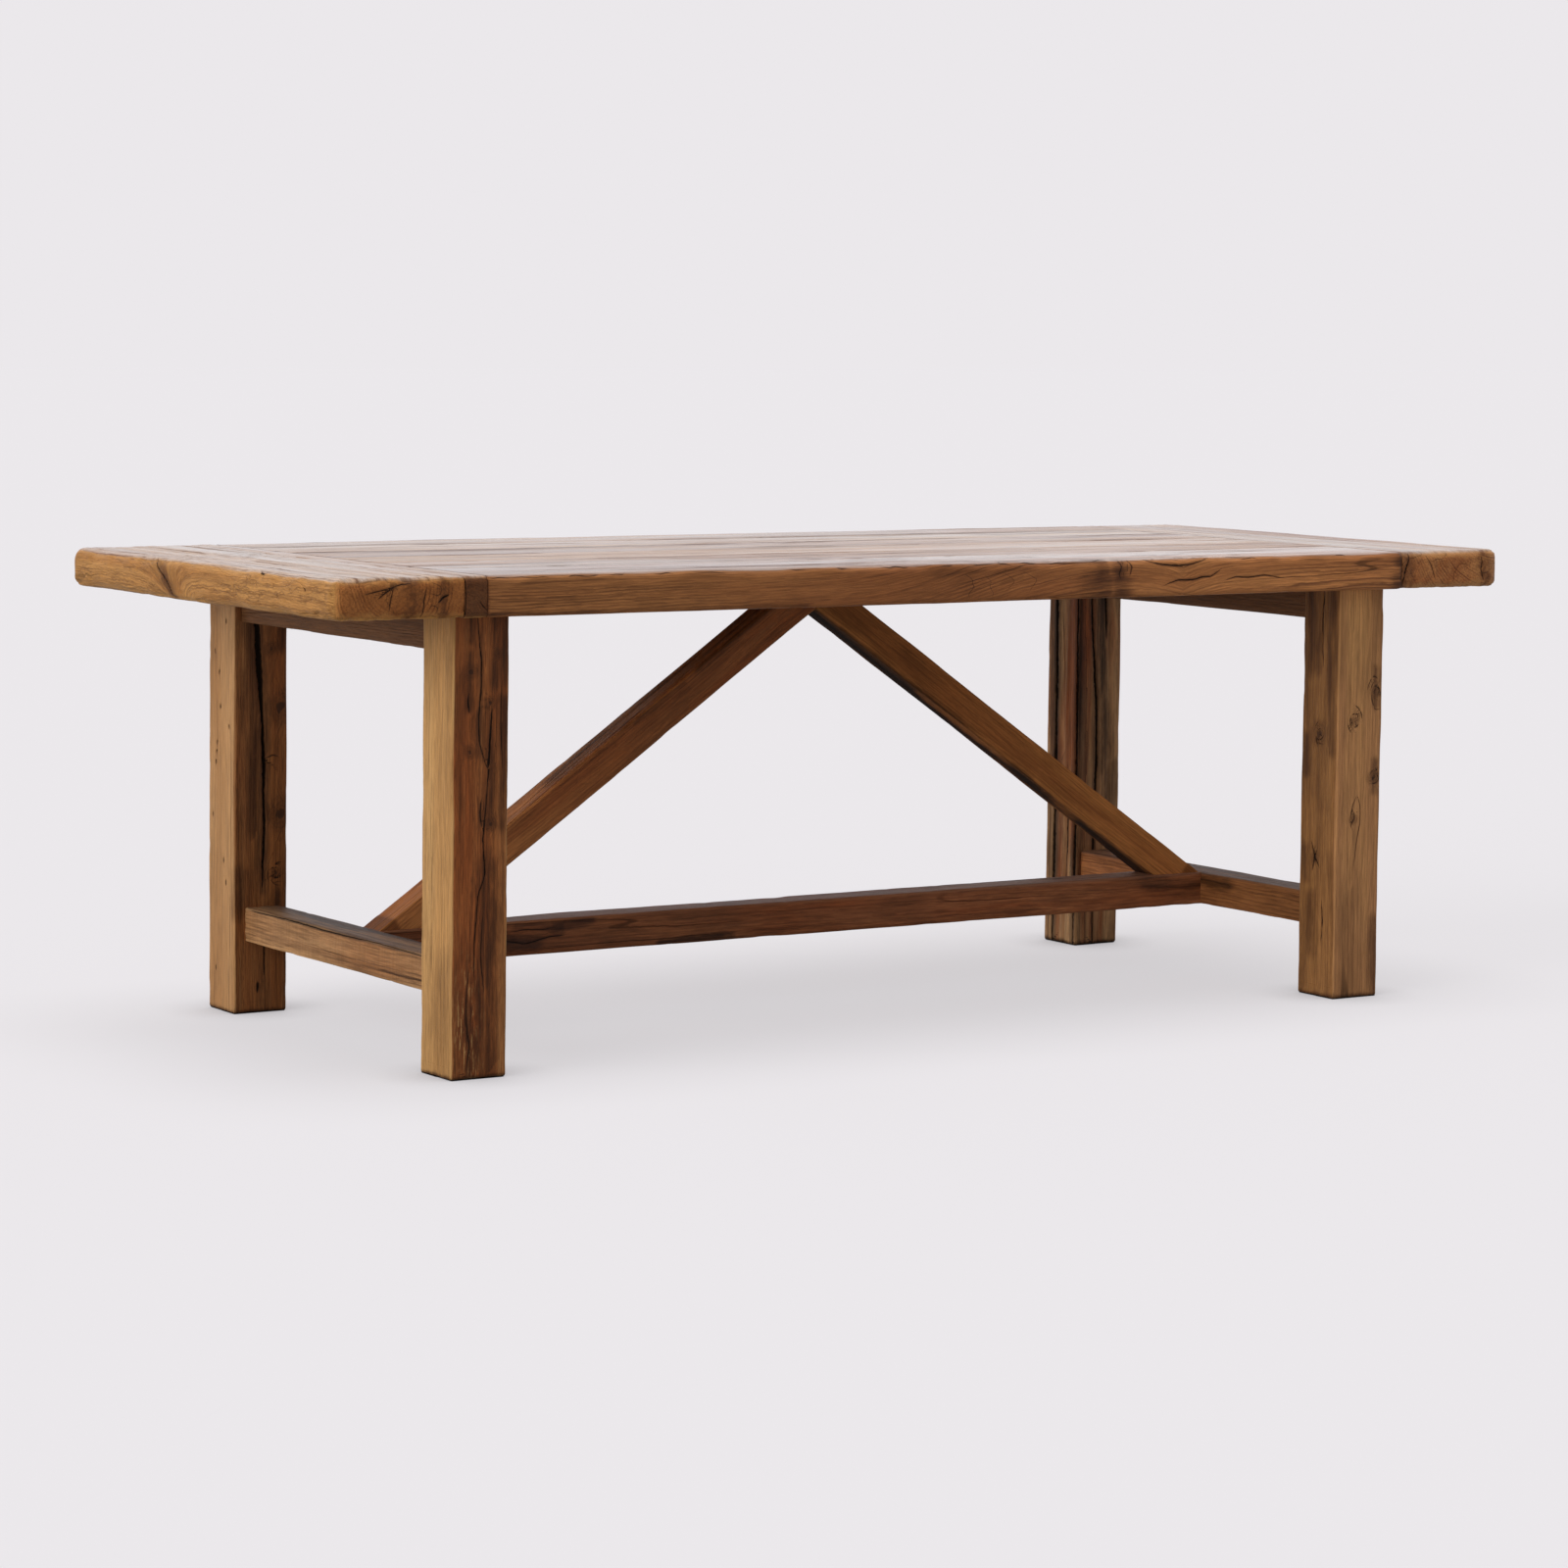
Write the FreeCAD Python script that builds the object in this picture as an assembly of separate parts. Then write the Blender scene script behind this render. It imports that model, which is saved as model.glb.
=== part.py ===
import FreeCAD, Part
import math
import os

# Long dining table of old thick timber on four square posts, in millimetres.
# +Z is up, +X runs along the table and the long front edge faces -Y.
# The origin lies on the floor under the middle of the top.

# Overall sizes
table_length = 2240.0
table_width = 930.0
table_height = 760.0
top_thickness = 63.0

# Rounding of the top
corner_radius = 22.0
upper_arris = 11.0
lower_arris = 8.0

# Boards that lie across the two ends of the top
left_end_board_width = 217.0
left_end_strip_width = 38.0
right_end_board_width = 228.0

# Share of the top's width that each plank takes, from the front edge; the back plank takes the rest
front_plank_share = 0.205
second_plank_share = 0.165
centre_plank_share = 0.175
fourth_plank_share = 0.155
fifth_plank_share = 0.155

# Square posts
leg_side = 96.0
end_overhang = 224.0
side_overhang = 49.0
leg_arris = 6.0
foot_arris = 5.0

# Aprons under the top and stretchers near the floor
rail_width = 64.0
rail_height = 57.0
rail_arris = 4.0
apron_setback = 12.0
stretcher_setback = 20.0
stretcher_floor_gap = 118.0
long_stretcher_width = 66.0

# Slanting braces from the long stretcher to the middle of the top
brace_width = 58.0
brace_depth = 57.0
brace_head_seat = 46.0

# Joints between posts, rails and stretchers
rail_tenon_thickness = 22.0
rail_tenon_length = 55.0
rail_tenon_shoulder = 8.0
long_tenon_length = 44.0

# Joints at the two ends of each brace
brace_tenon_thickness = 20.0
brace_nose_margin = 17.0
brace_toe_margin = 24.0
brace_foot_tenon_depth = 30.0
brace_head_margin = 12.0
brace_head_tenon_depth = 22.0

# Joints that hold the top together and to the posts
plank_tenon_thickness = 21.0
plank_tenon_margin = 35.0
plank_tenon_depth = 60.0
edge_tongue_thickness = 14.0
edge_tongue_depth = 12.0
post_tenon_length = 32.0
post_tenon_width = 36.0
post_tenon_depth = 24.0
post_tenon_inset = 42.0

# Room left round every tenon and tongue, and beyond its tip
joint_play = 0.3
tip_play = 1.0

# How near an edge comes to a height or a direction to be picked for easing
height_tolerance = 0.03
direction_cosine = 0.9998

# Places that follow from the sizes above
half_length = table_length / 2
half_width = table_width / 2
underside = table_height - top_thickness
mid_top = underside + top_thickness / 2
left_seam = left_end_board_width + left_end_strip_width - half_length
left_board_seam = left_end_board_width - half_length
right_seam = half_length - right_end_board_width
leg_outer_x = half_length - end_overhang
leg_outer_y = half_width - side_overhang
leg_inner_x = leg_outer_x - leg_side
leg_inner_y = leg_outer_y - leg_side
apron_outer_x = leg_outer_x - apron_setback
apron_inner_x = apron_outer_x - rail_width
apron_bottom = underside - rail_height
stretcher_outer_x = leg_outer_x - stretcher_setback
stretcher_inner_x = stretcher_outer_x - rail_width
stretcher_bottom = stretcher_floor_gap
stretcher_top = stretcher_bottom + rail_height

X_AXIS = FreeCAD.Vector(1, 0, 0)
Y_AXIS = FreeCAD.Vector(0, 1, 0)
Z_AXIS = FreeCAD.Vector(0, 0, 1)
ORIGIN = FreeCAD.Vector(0, 0, 0)

# Ends of the table along X and sides of it along Y
end_names = {-1: "left", 1: "right"}
side_names = {-1: "front", 1: "back"}


def block(xs, ys, zs):
    """Straight block between two places along each axis."""
    corner = FreeCAD.Vector(min(xs), min(ys), min(zs))
    return Part.makeBox(abs(xs[1] - xs[0]), abs(ys[1] - ys[0]), abs(zs[1] - zs[0]), corner)


def widened(span, room):
    """The same span with room added at both ends."""
    return min(span) - room, max(span) + room


def centred(size, middle=0.0):
    """Span of a given size around a middle place."""
    return middle - size / 2, middle + size / 2


def edges_along(shape, direction):
    """Straight edges of a shape that run in one direction."""
    found = []
    for edge in shape.Edges:
        run = edge.Vertexes[-1].Point - edge.Vertexes[0].Point
        if run.Length and abs(run.dot(direction)) > direction_cosine * run.Length:
            found.append(edge)
    return found


def edges_at_height(shape, height):
    """Edges of a shape that lie flat at one height."""
    return [edge for edge in shape.Edges
            if all(abs(vertex.Point.z - height) < height_tolerance for vertex in edge.Vertexes)]


def bar(xs, ys, zs, direction):
    """Rail with its four long edges eased."""
    plain = block(xs, ys, zs)
    return plain.makeFillet(rail_arris, edges_along(plain, direction))


def joined(shape, pieces):
    """Shape with tenons or tongues worked on it."""
    for piece in pieces:
        shape = shape.fuse(piece)
    return shape.removeSplitter()


def hollowed(shape, holes):
    """Shape with mortises or grooves cut into it."""
    for hole in holes:
        shape = shape.cut(hole)
    return shape


# The top starts as one eased slab, so that the rounding runs on from board to board
slab = block(centred(table_length), centred(table_width), (underside, table_height))
slab = slab.makeFillet(corner_radius, edges_along(slab, Z_AXIS))
slab = slab.makeFillet(upper_arris, edges_at_height(slab, table_height))
slab = slab.makeFillet(lower_arris, edges_at_height(slab, underside))


def slab_piece(xs, ys):
    """Part of the slab between two places along and across the table."""
    return slab.common(block(xs, ys, (underside, table_height)))


# Tenons on top of the posts, with their mortises in the underside of the top
post_middle_x = leg_inner_x + post_tenon_inset
post_middle_y = leg_inner_y + leg_side / 2
post_height_span = (underside, underside + post_tenon_depth)
post_tenons = {}
post_mortises = []
for end in end_names:
    for side in side_names:
        along = centred(post_tenon_length, end * post_middle_x)
        across = centred(post_tenon_width, side * post_middle_y)
        post_tenons[end, side] = block(along, across, post_height_span)
        post_mortises.append(block(widened(along, joint_play), widened(across, joint_play),
                                   widened(post_height_span, tip_play)))

# Tenons on the heads of the two braces share one mortise under the middle of the top
head_span = (brace_head_margin - brace_head_seat, 0.0)
head_height_span = (underside, underside + brace_head_tenon_depth)
head_tenon = block(head_span, centred(brace_tenon_thickness), head_height_span)
head_mortise = block(widened((head_span[0], -head_span[0]), joint_play),
                     widened(centred(brace_tenon_thickness), joint_play),
                     widened(head_height_span, tip_play))
mortises_under_top = post_mortises + [head_mortise]

# Planks along the top: tongue on the back edge, groove in the front edge, a tenon at each end
plank_shares = {
    "plank_1_front": front_plank_share,
    "plank_2": second_plank_share,
    "plank_3_centre": centre_plank_share,
    "plank_4": fourth_plank_share,
    "plank_5": fifth_plank_share,
}
plank_shares["plank_6_back"] = 1.0 - sum(plank_shares.values())

pieces = {}
end_mortises = []
plank_run = (left_seam, right_seam)
tenon_height = centred(plank_tenon_thickness, mid_top)
tongue_height = centred(edge_tongue_thickness, mid_top)
front_edge = -half_width
for name, share in plank_shares.items():
    back_edge = front_edge + share * table_width
    plank = slab_piece(plank_run, (front_edge, back_edge))
    tenon_width = (front_edge + plank_tenon_margin, back_edge - plank_tenon_margin)
    left_tenon = (left_board_seam - plank_tenon_depth, left_seam)
    right_tenon = (right_seam, right_seam + plank_tenon_depth)
    additions = []
    for tenon_run in (left_tenon, right_tenon):
        additions.append(block(tenon_run, tenon_width, tenon_height))
        end_mortises.append(block(widened(tenon_run, tip_play), widened(tenon_width, joint_play),
                                  widened(tenon_height, joint_play)))
    if name != "plank_6_back":
        additions.append(block(plank_run, (back_edge, back_edge + edge_tongue_depth), tongue_height))
    plank = joined(plank, additions)
    if name != "plank_1_front":
        groove_depth = (front_edge, front_edge + edge_tongue_depth)
        plank = hollowed(plank, [block(plank_run, widened(groove_depth, tip_play),
                                       widened(tongue_height, joint_play))])
    pieces[name] = hollowed(plank, mortises_under_top)
    front_edge = back_edge

# Boards across the ends, with the mortises that take the plank tenons
cross_boards = {
    "end_board_left": (-half_length, left_board_seam),
    "end_strip_left": (left_board_seam, left_seam),
    "end_board_right": (right_seam, half_length),
}
for name, run in cross_boards.items():
    board = slab_piece(run, centred(table_width))
    pieces[name] = hollowed(board, end_mortises + post_mortises)

# Aprons and end stretchers run from post to post; the same tenon is worked on both of their ends
cross_rails = {
    "apron": (apron_outer_x, apron_inner_x, apron_bottom),
    "end_stretcher": (stretcher_outer_x, stretcher_inner_x, stretcher_bottom),
}
rail_mortises = []
long_tenon_height = (stretcher_bottom + rail_tenon_shoulder, stretcher_top - rail_tenon_shoulder)
long_tenon_width = centred(rail_tenon_thickness)
for end, end_name in end_names.items():
    for rail_name, (outer_x, inner_x, bottom) in cross_rails.items():
        rail_up = (bottom, bottom + rail_height)
        rail = bar((end * outer_x, end * inner_x), (-leg_inner_y, leg_inner_y), rail_up, Y_AXIS)
        tenon_across = centred(rail_tenon_thickness, end * (outer_x + inner_x) / 2)
        tenon_up = (bottom + rail_tenon_shoulder, bottom + rail_height - rail_tenon_shoulder)
        tenons = []
        for side in side_names:
            reach = (side * leg_inner_y, side * (leg_inner_y + rail_tenon_length))
            tenons.append(block(tenon_across, reach, tenon_up))
            rail_mortises.append(block(widened(tenon_across, joint_play), widened(reach, tip_play),
                                       widened(tenon_up, joint_play)))
        pieces[rail_name + "_" + end_name] = joined(rail, tenons)

# Long stretcher between the two end stretchers
long_stretcher = bar((-stretcher_inner_x, stretcher_inner_x), centred(long_stretcher_width),
                     (stretcher_bottom, stretcher_top), X_AXIS)
for end, end_name in end_names.items():
    reach = (end * stretcher_inner_x, end * (stretcher_inner_x + long_tenon_length))
    long_stretcher = joined(long_stretcher, [block(reach, long_tenon_width, long_tenon_height)])
    long_mortise = block(widened(reach, tip_play), widened(long_tenon_width, joint_play),
                         widened(long_tenon_height, joint_play))
    stretcher_name = "end_stretcher_" + end_name
    pieces[stretcher_name] = hollowed(pieces[stretcher_name], [long_mortise])

# Square posts, eased along their edges and round the foot
for end, end_name in end_names.items():
    for side, side_name in side_names.items():
        along = (end * leg_outer_x, end * leg_inner_x)
        across = (side * leg_outer_y, side * leg_inner_y)
        post = block(along, across, (0.0, underside))
        post = post.makeFillet(leg_arris, edges_along(post, Z_AXIS))
        post = post.makeFillet(foot_arris, edges_at_height(post, 0.0))
        post = joined(post, [post_tenons[end, side]])
        pieces["leg_" + side_name + "_" + end_name] = hollowed(post, rail_mortises)

# Braces lean from the corner of the two stretchers to the middle of the top, where they meet
brace_rise = underside - stretcher_top
brace_run = stretcher_inner_x - brace_head_seat
brace_angle = math.atan2(brace_rise, brace_run)
foot_seat = brace_depth / math.sin(brace_angle)
foot_outer = -stretcher_inner_x
foot_inner = foot_outer + foot_seat
meeting_height = stretcher_top - foot_inner * math.tan(brace_angle)


def upright_plate(corners, thickness):
    """Plate standing along the table, cut to the given corners and centred on it."""
    points = [FreeCAD.Vector(x, -thickness / 2, z) for x, z in corners]
    return Part.Face(Part.makePolygon(points + points[:1])).extrude(Y_AXIS * thickness)


def foot_tenon(room, beyond):
    """Slanting tenon under a brace foot: upright nose, toe cut along the slope of the brace."""
    low = stretcher_top - brace_foot_tenon_depth - beyond
    high = stretcher_top + beyond
    nose = foot_outer + brace_nose_margin - room
    toe = foot_inner - brace_toe_margin + room
    slope = 1.0 / math.tan(brace_angle)
    return upright_plate([
        (nose, low),
        (toe - (stretcher_top - low) * slope, low),
        (toe + (high - stretcher_top) * slope, high),
        (nose, high),
    ], brace_tenon_thickness + 2 * room)


brace = upright_plate([
    (foot_outer, stretcher_top),
    (foot_inner, stretcher_top),
    (0.0, meeting_height),
    (0.0, underside),
    (-brace_head_seat, underside),
], brace_width)
slope_direction = FreeCAD.Vector(math.cos(brace_angle), 0, math.sin(brace_angle))
brace = brace.makeFillet(rail_arris, edges_along(brace, slope_direction))
brace = joined(brace, [foot_tenon(0.0, 0.0), head_tenon])
pieces["brace_left"] = brace
pieces["brace_right"] = brace.mirror(ORIGIN, X_AXIS)

foot_mortise = foot_tenon(joint_play, tip_play)
pieces["long_stretcher"] = hollowed(long_stretcher, [foot_mortise, foot_mortise.mirror(ORIGIN, X_AXIS)])

os.makedirs("parts", exist_ok=True)
for name, shape in pieces.items():
    shape.Solids[0].exportStep("parts/" + name + ".step")
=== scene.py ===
import math
import random

import bpy
from mathutils import Matrix, Vector


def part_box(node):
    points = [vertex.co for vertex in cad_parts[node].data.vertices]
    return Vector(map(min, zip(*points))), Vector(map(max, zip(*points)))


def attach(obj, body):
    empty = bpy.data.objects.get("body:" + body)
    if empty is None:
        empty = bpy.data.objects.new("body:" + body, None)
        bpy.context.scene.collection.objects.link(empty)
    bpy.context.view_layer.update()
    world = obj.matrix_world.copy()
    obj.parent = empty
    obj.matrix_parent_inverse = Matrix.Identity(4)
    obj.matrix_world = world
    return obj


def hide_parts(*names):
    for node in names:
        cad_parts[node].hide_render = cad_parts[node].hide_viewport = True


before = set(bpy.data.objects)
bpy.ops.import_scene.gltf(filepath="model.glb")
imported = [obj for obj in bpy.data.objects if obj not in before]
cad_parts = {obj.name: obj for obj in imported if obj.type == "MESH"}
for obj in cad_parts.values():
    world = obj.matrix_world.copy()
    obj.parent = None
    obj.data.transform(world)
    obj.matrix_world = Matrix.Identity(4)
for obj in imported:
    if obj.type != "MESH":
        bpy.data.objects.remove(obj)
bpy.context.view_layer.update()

MM = 0.001
FAR_BELOW = Vector((0.0, 0.0, -50.0))
TINY = 1e-6


# Sizes of the table in mm, read from the frame

def box_mm(node):
    """A node's lowest and highest corner in mm."""
    return [[round(v / MM, 2) for v in corner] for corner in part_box(node)]


PLANKS = ("plank_1_front", "plank_2", "plank_3_centre", "plank_4", "plank_5", "plank_6_back")
(LEFT_END, FRONT, UNDER), (LEFT_SEAM, BACK, HEIGHT) = box_mm("end_board_left")
STRIP_SEAM = box_mm("end_strip_left")[1][0]
(RIGHT_SEAM, _, _), (RIGHT_END, _, _) = box_mm("end_board_right")
PLANK_SEAMS = [box_mm(node)[0][1] for node in PLANKS] + [BACK]
TOP = HEIGHT - UNDER
(_, leg_front, _), (_, leg_back, _) = box_mm("leg_front_left")
LEG, LEG_INSIDE = leg_back - leg_front, -leg_back
RAIL_LOW, RAIL_TOP = (corner[2] for corner in box_mm("long_stretcher"))
RAIL_HIGH = RAIL_TOP - RAIL_LOW
RAIL_INSIDE = box_mm("end_stretcher_right")[0][0]
# how far a timber's end reaches into its neighbour, out of sight
TUCK = 10.0


def tone(red, green, blue):
    """A colour as the eye reads it on a screen, 0 to 255, made linear."""
    def linear(v):
        v /= 255.0
        return v / 12.92 if v <= 0.04045 else ((v + 0.055) / 1.055) ** 2.4
    return (linear(red), linear(green), linear(blue), 1.0)


def socket_name(word):
    """The name of a tree's input for the word that the script uses: Ring Width for ring_width."""
    return word.replace("_", " ").title()


# Node trees

class Wiring:
    """Short words for adding nodes to one tree, for shapes and for colours alike."""

    def __init__(self, tree):
        self.tree = tree

    def node(self, kind, **settings):
        made = self.tree.nodes.new(kind)
        for name, value in settings.items():
            setattr(made, name, value)
        return made

    def put(self, socket, value):
        if isinstance(value, bpy.types.NodeSocket):
            self.tree.links.new(value, socket)
        else:
            socket.default_value = value

    def math(self, operation, *values):
        made = self.node("ShaderNodeMath", operation=operation)
        for socket, value in zip(made.inputs, values):
            self.put(socket, value)
        return made.outputs[0]

    def add(self, *values):
        total = values[0]
        for value in values[1:]:
            total = self.math("ADD", total, value)
        return total

    def less(self, value, taken):
        return self.math("SUBTRACT", value, taken)

    def times(self, *values):
        total = values[0]
        for value in values[1:]:
            total = self.math("MULTIPLY", total, value)
        return total

    def vector(self, operation, first, second=None, scale=None):
        made = self.node("ShaderNodeVectorMath", operation=operation)
        self.put(made.inputs[0], first)
        if second is not None:
            self.put(made.inputs[1], second)
        if scale is not None:
            self.put(made.inputs["Scale"], scale)
        return made.outputs["Value" if operation in ("LENGTH", "DISTANCE", "DOT_PRODUCT") else "Vector"]

    def xyz(self, x, y, z):
        made = self.node("ShaderNodeCombineXYZ")
        for socket, value in zip(made.inputs, (x, y, z)):
            self.put(socket, value)
        return made.outputs[0]

    def parts(self, vector):
        made = self.node("ShaderNodeSeparateXYZ")
        self.put(made.inputs[0], vector)
        return made.outputs[0], made.outputs[1], made.outputs[2]

    def noise(self, vector, seed, detail=2.0, rough=0.5, colour=False):
        made = self.node("ShaderNodeTexNoise", noise_dimensions="4D")
        settings = {"Vector": vector, "W": seed, "Scale": 1.0, "Detail": detail, "Roughness": rough}
        for name, value in settings.items():
            self.put(made.inputs[name], value)
        return made.outputs[1 if colour else 0]

    def step(self, value, low, high, at_low=0.0, at_high=1.0):
        """Eases from at_low to at_high while value goes from low to high."""
        made = self.node("ShaderNodeMapRange", interpolation_type="SMOOTHSTEP", clamp=True)
        settings = {"Value": value, "From Min": low, "From Max": high, "To Min": at_low, "To Max": at_high}
        for name, setting in settings.items():
            self.put(made.inputs[name], setting)
        return made.outputs[0]

    def fall(self, value, low, high):
        """Eases from one to nothing while value goes from low to high."""
        return self.step(value, low, high, 1.0, 0.0)

    def between(self, share, first, second):
        made = self.node("ShaderNodeMix", data_type="FLOAT")
        self.put(made.inputs[0], share)
        self.put(made.inputs[2], first)
        self.put(made.inputs[3], second)
        return made.outputs[0]

    def blend(self, share, first, second, kind="MIX"):
        made = self.node("ShaderNodeMix", data_type="RGBA", blend_type=kind)
        self.put(made.inputs[0], share)
        self.put(made.inputs[6], first)
        self.put(made.inputs[7], second)
        return made.outputs[2]


class GrainTree(Wiring):
    """A node group with named inputs, which works in a timber's own grain: x runs along the fibres."""

    def __init__(self, name, kind, inputs, outputs):
        tree = bpy.data.node_groups.new(name, kind)
        for label, socket, value in inputs:
            made = tree.interface.new_socket(label, in_out="INPUT", socket_type="NodeSocket" + socket)
            if value is not None:
                made.default_value = value
        for label, socket in outputs:
            tree.interface.new_socket(label, in_out="OUTPUT", socket_type="NodeSocket" + socket)
        super().__init__(tree)
        self.ask = self.node("NodeGroupInput").outputs
        self.give = self.node("NodeGroupOutput").inputs

    def figure(self, place, along, across, shift, detail=2.0, rough=0.5, colour=False):
        """Clouds drawn out along the grain, with so many to the metre along and across it."""
        stretched = self.vector("MULTIPLY", place, (along, across, across))
        return self.noise(stretched, self.add(self.ask["Seed"], shift), detail, rough, colour)


# Shape of one old timber

class TimberTree(GrainTree):
    """Shapes one timber: a fine box with eased edges, set in place, then worn inwards along its grain, at
    its edges and in its cracks. Each step takes the shape so far and hands on the next. Sizes are in m."""

    INPUTS = (
        ("Length", "Float", 1.0), ("Width", "Float", 0.1), ("Thickness", "Float", 0.1),
        ("Steps Along", "Int", 50), ("Steps Across", "Int", 20), ("Steps Through", "Int", 20),
        ("Edge Radius", "Float", 0.004), ("Start Radius", "Float", 0.0005), ("End Radius", "Float", 0.0005),
        ("Start Skew", "Float", 0.0), ("End Skew", "Float", 0.0),
        ("Second Cut", "Float", 10.0), ("Second Skew", "Float", 0.0),
        ("Turn", "Vector", (0.0, 0.0, 0.0)), ("Place", "Vector", (0.0, 0.0, 0.0)),
        ("In Top", "Float", 0.0), ("Top Length", "Float", 1.0), ("Top Width", "Float", 1.0),
        ("Top Thickness", "Float", 0.1), ("Top Middle", "Float", 0.0), ("Top Corner", "Float", 0.022),
        ("Upper Arris", "Float", 0.011), ("Lower Arris", "Float", 0.008), ("End Arris", "Float", 0.003),
        ("Seed", "Float", 0.0), ("Wave", "Float", 0.001), ("Relief", "Float", 0.0006),
        ("Groove", "Float", 0.0), ("Chip", "Float", 0.002), ("Edge Wear", "Float", 0.001),
        ("Upper Face", "Float", 0.0), ("End Relief", "Float", 0.0), ("Front Relief", "Float", 1.0),
        ("Back Relief", "Float", 1.0), ("Cracks", "Object", None), ("Knots", "Object", None),
        ("Stains", "Object", None), ("Wood", "Material", None),
    )
    # the arrises of the top grow larger between these two places, in m from its middle
    END_ARRIS_FROM, END_ARRIS_TO = 0.86, 1.06
    # a point this near to a face counts as on it
    ON_FACE = 0.0006
    # no knot or stain reaches further than this many of its own radii
    FAR_OFF = 12.0

    def __init__(self):
        super().__init__("Weathered timber", "GeometryNodeTree", self.INPUTS, (("Timber", "Geometry"),))
        shape = self.top_outline(self.in_place(self.slanting_ends(*self.eased_box())))
        self.finish(self.worn(*self.marked(shape)))

    def position(self):
        return self.node("GeometryNodeInputPosition").outputs[0]

    def kept(self, name, kind="FLOAT"):
        made = self.node("GeometryNodeInputNamedAttribute", data_type=kind)
        made.inputs["Name"].default_value = name
        return made.outputs[0]

    def keep(self, shape, name, value, kind="FLOAT"):
        made = self.node("GeometryNodeStoreNamedAttribute", data_type=kind, domain="POINT")
        made.inputs["Name"].default_value = name
        self.put(made.inputs["Geometry"], shape)
        self.put(made.inputs["Value"], value)
        return made.outputs[0]

    def move(self, shape, name, value):
        """Moves each point, to a Position or by an Offset."""
        made = self.node("GeometryNodeSetPosition")
        self.put(made.inputs["Geometry"], shape)
        self.put(made.inputs[name], value)
        return made.outputs[0]

    def to_edge(self, gaps):
        """How far off the nearest edge is: the middle one of the gaps to the faces on three axes."""
        a, b, c = self.parts(gaps)
        least, most = self.math("MINIMUM", a, b), self.math("MAXIMUM", a, b)
        return self.math("MAXIMUM", least, self.math("MINIMUM", most, c))

    def held_within(self, place, reach):
        low = self.vector("SCALE", reach, scale=-1.0)
        return self.vector("MAXIMUM", self.vector("MINIMUM", place, reach), low)

    def eased_box(self):
        """A fine box whose edges are rounder in some places than in others."""
        ask = self.ask
        size = self.xyz(ask["Length"], ask["Width"], ask["Thickness"])
        box = self.node("GeometryNodeMeshCube")
        self.put(box.inputs["Size"], size)
        for axis, count in (("X", "Steps Along"), ("Y", "Steps Across"), ("Z", "Steps Through")):
            self.put(box.inputs["Vertices " + axis], ask[count])
        p = self.position()
        x, y, z = self.parts(p)
        half = self.vector("SCALE", size, scale=0.5)
        gaps = self.vector("SUBTRACT", half, self.vector("ABSOLUTE", p))
        shape = self.keep(box.outputs["Mesh"], "edge", self.to_edge(gaps))
        beside = self.xyz(self.times(x, 6.0), self.math("SIGN", y), self.math("SIGN", z))
        uneven = self.step(self.noise(beside, ask["Seed"]), 0.3, 0.7, 0.6, 1.5)
        ease = self.times(ask["Edge Radius"], uneven)
        end_ease = self.between(self.math("GREATER_THAN", x, 0.0), ask["Start Radius"], ask["End Radius"])
        radii = self.xyz(end_ease, ease, ease)
        inner = self.held_within(p, self.vector("SUBTRACT", half, radii))
        outward = self.vector("DIVIDE", self.vector("SUBTRACT", p, inner), radii)
        rounding = self.vector("MULTIPLY", self.vector("NORMALIZE", outward), radii)
        return shape, self.vector("ADD", inner, rounding)

    def slanting_ends(self, shape, eased):
        """Both ends cut at a slant; the far end may have two cuts that meet."""
        ask = self.ask
        x, y, z = self.parts(eased)
        start = self.add(self.times(ask["Length"], -0.5), self.times(ask["Start Skew"], z))
        first_cut = self.add(self.times(ask["Length"], 0.5), self.times(ask["End Skew"], z))
        second_cut = self.add(ask["Second Cut"], self.times(ask["Second Skew"], z))
        end = self.math("MINIMUM", first_cut, second_cut)
        along = self.add(self.math("DIVIDE", x, ask["Length"]), 0.5)
        shape = self.move(shape, "Position", self.xyz(self.between(along, start, end), y, z))
        return self.keep(shape, "grain", self.position(), "FLOAT_VECTOR")

    def in_place(self, shape):
        placed = self.node("GeometryNodeTransform")
        self.put(placed.inputs["Geometry"], shape)
        self.put(placed.inputs["Translation"], self.ask["Place"])
        self.put(placed.inputs["Rotation"], self.ask["Turn"])
        return placed.outputs[0]

    def top_outline(self, shape):
        """The boards of the top share one outline, with round corners and eased arrises."""
        ask = self.ask
        p = self.position()
        x, y, z = self.parts(p)
        half_length, half_width, half_thick = (
            self.times(ask[name], 0.5) for name in ("Top Length", "Top Width", "Top Thickness"))
        up = self.less(z, ask["Top Middle"])
        flat = self.xyz(x, y, 0.0)
        corner = ask["Top Corner"]
        reach = self.xyz(self.less(half_length, corner), self.less(half_width, corner), 0.0)
        inner = self.held_within(flat, reach)
        off = self.vector("SUBTRACT", flat, inner)
        off_x, off_y, _ = self.parts(self.vector("ABSOLUTE", off))
        out = self.math("MAXIMUM", off_x, off_y)

        # the arris is uneven, and larger at the ends of the table
        scuffs = self.noise(self.vector("MULTIPLY", p, (9.0, 9.0, 0.0)), ask["Seed"])
        at_end = self.step(self.math("ABSOLUTE", x), self.END_ARRIS_FROM, self.END_ARRIS_TO)
        plain = self.between(self.math("GREATER_THAN", up, 0.0), ask["Lower Arris"], ask["Upper Arris"])
        arris = self.times(self.add(plain, self.times(at_end, ask["End Arris"])),
                           self.step(scuffs, 0.3, 0.7, 0.75, 1.6))

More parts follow.
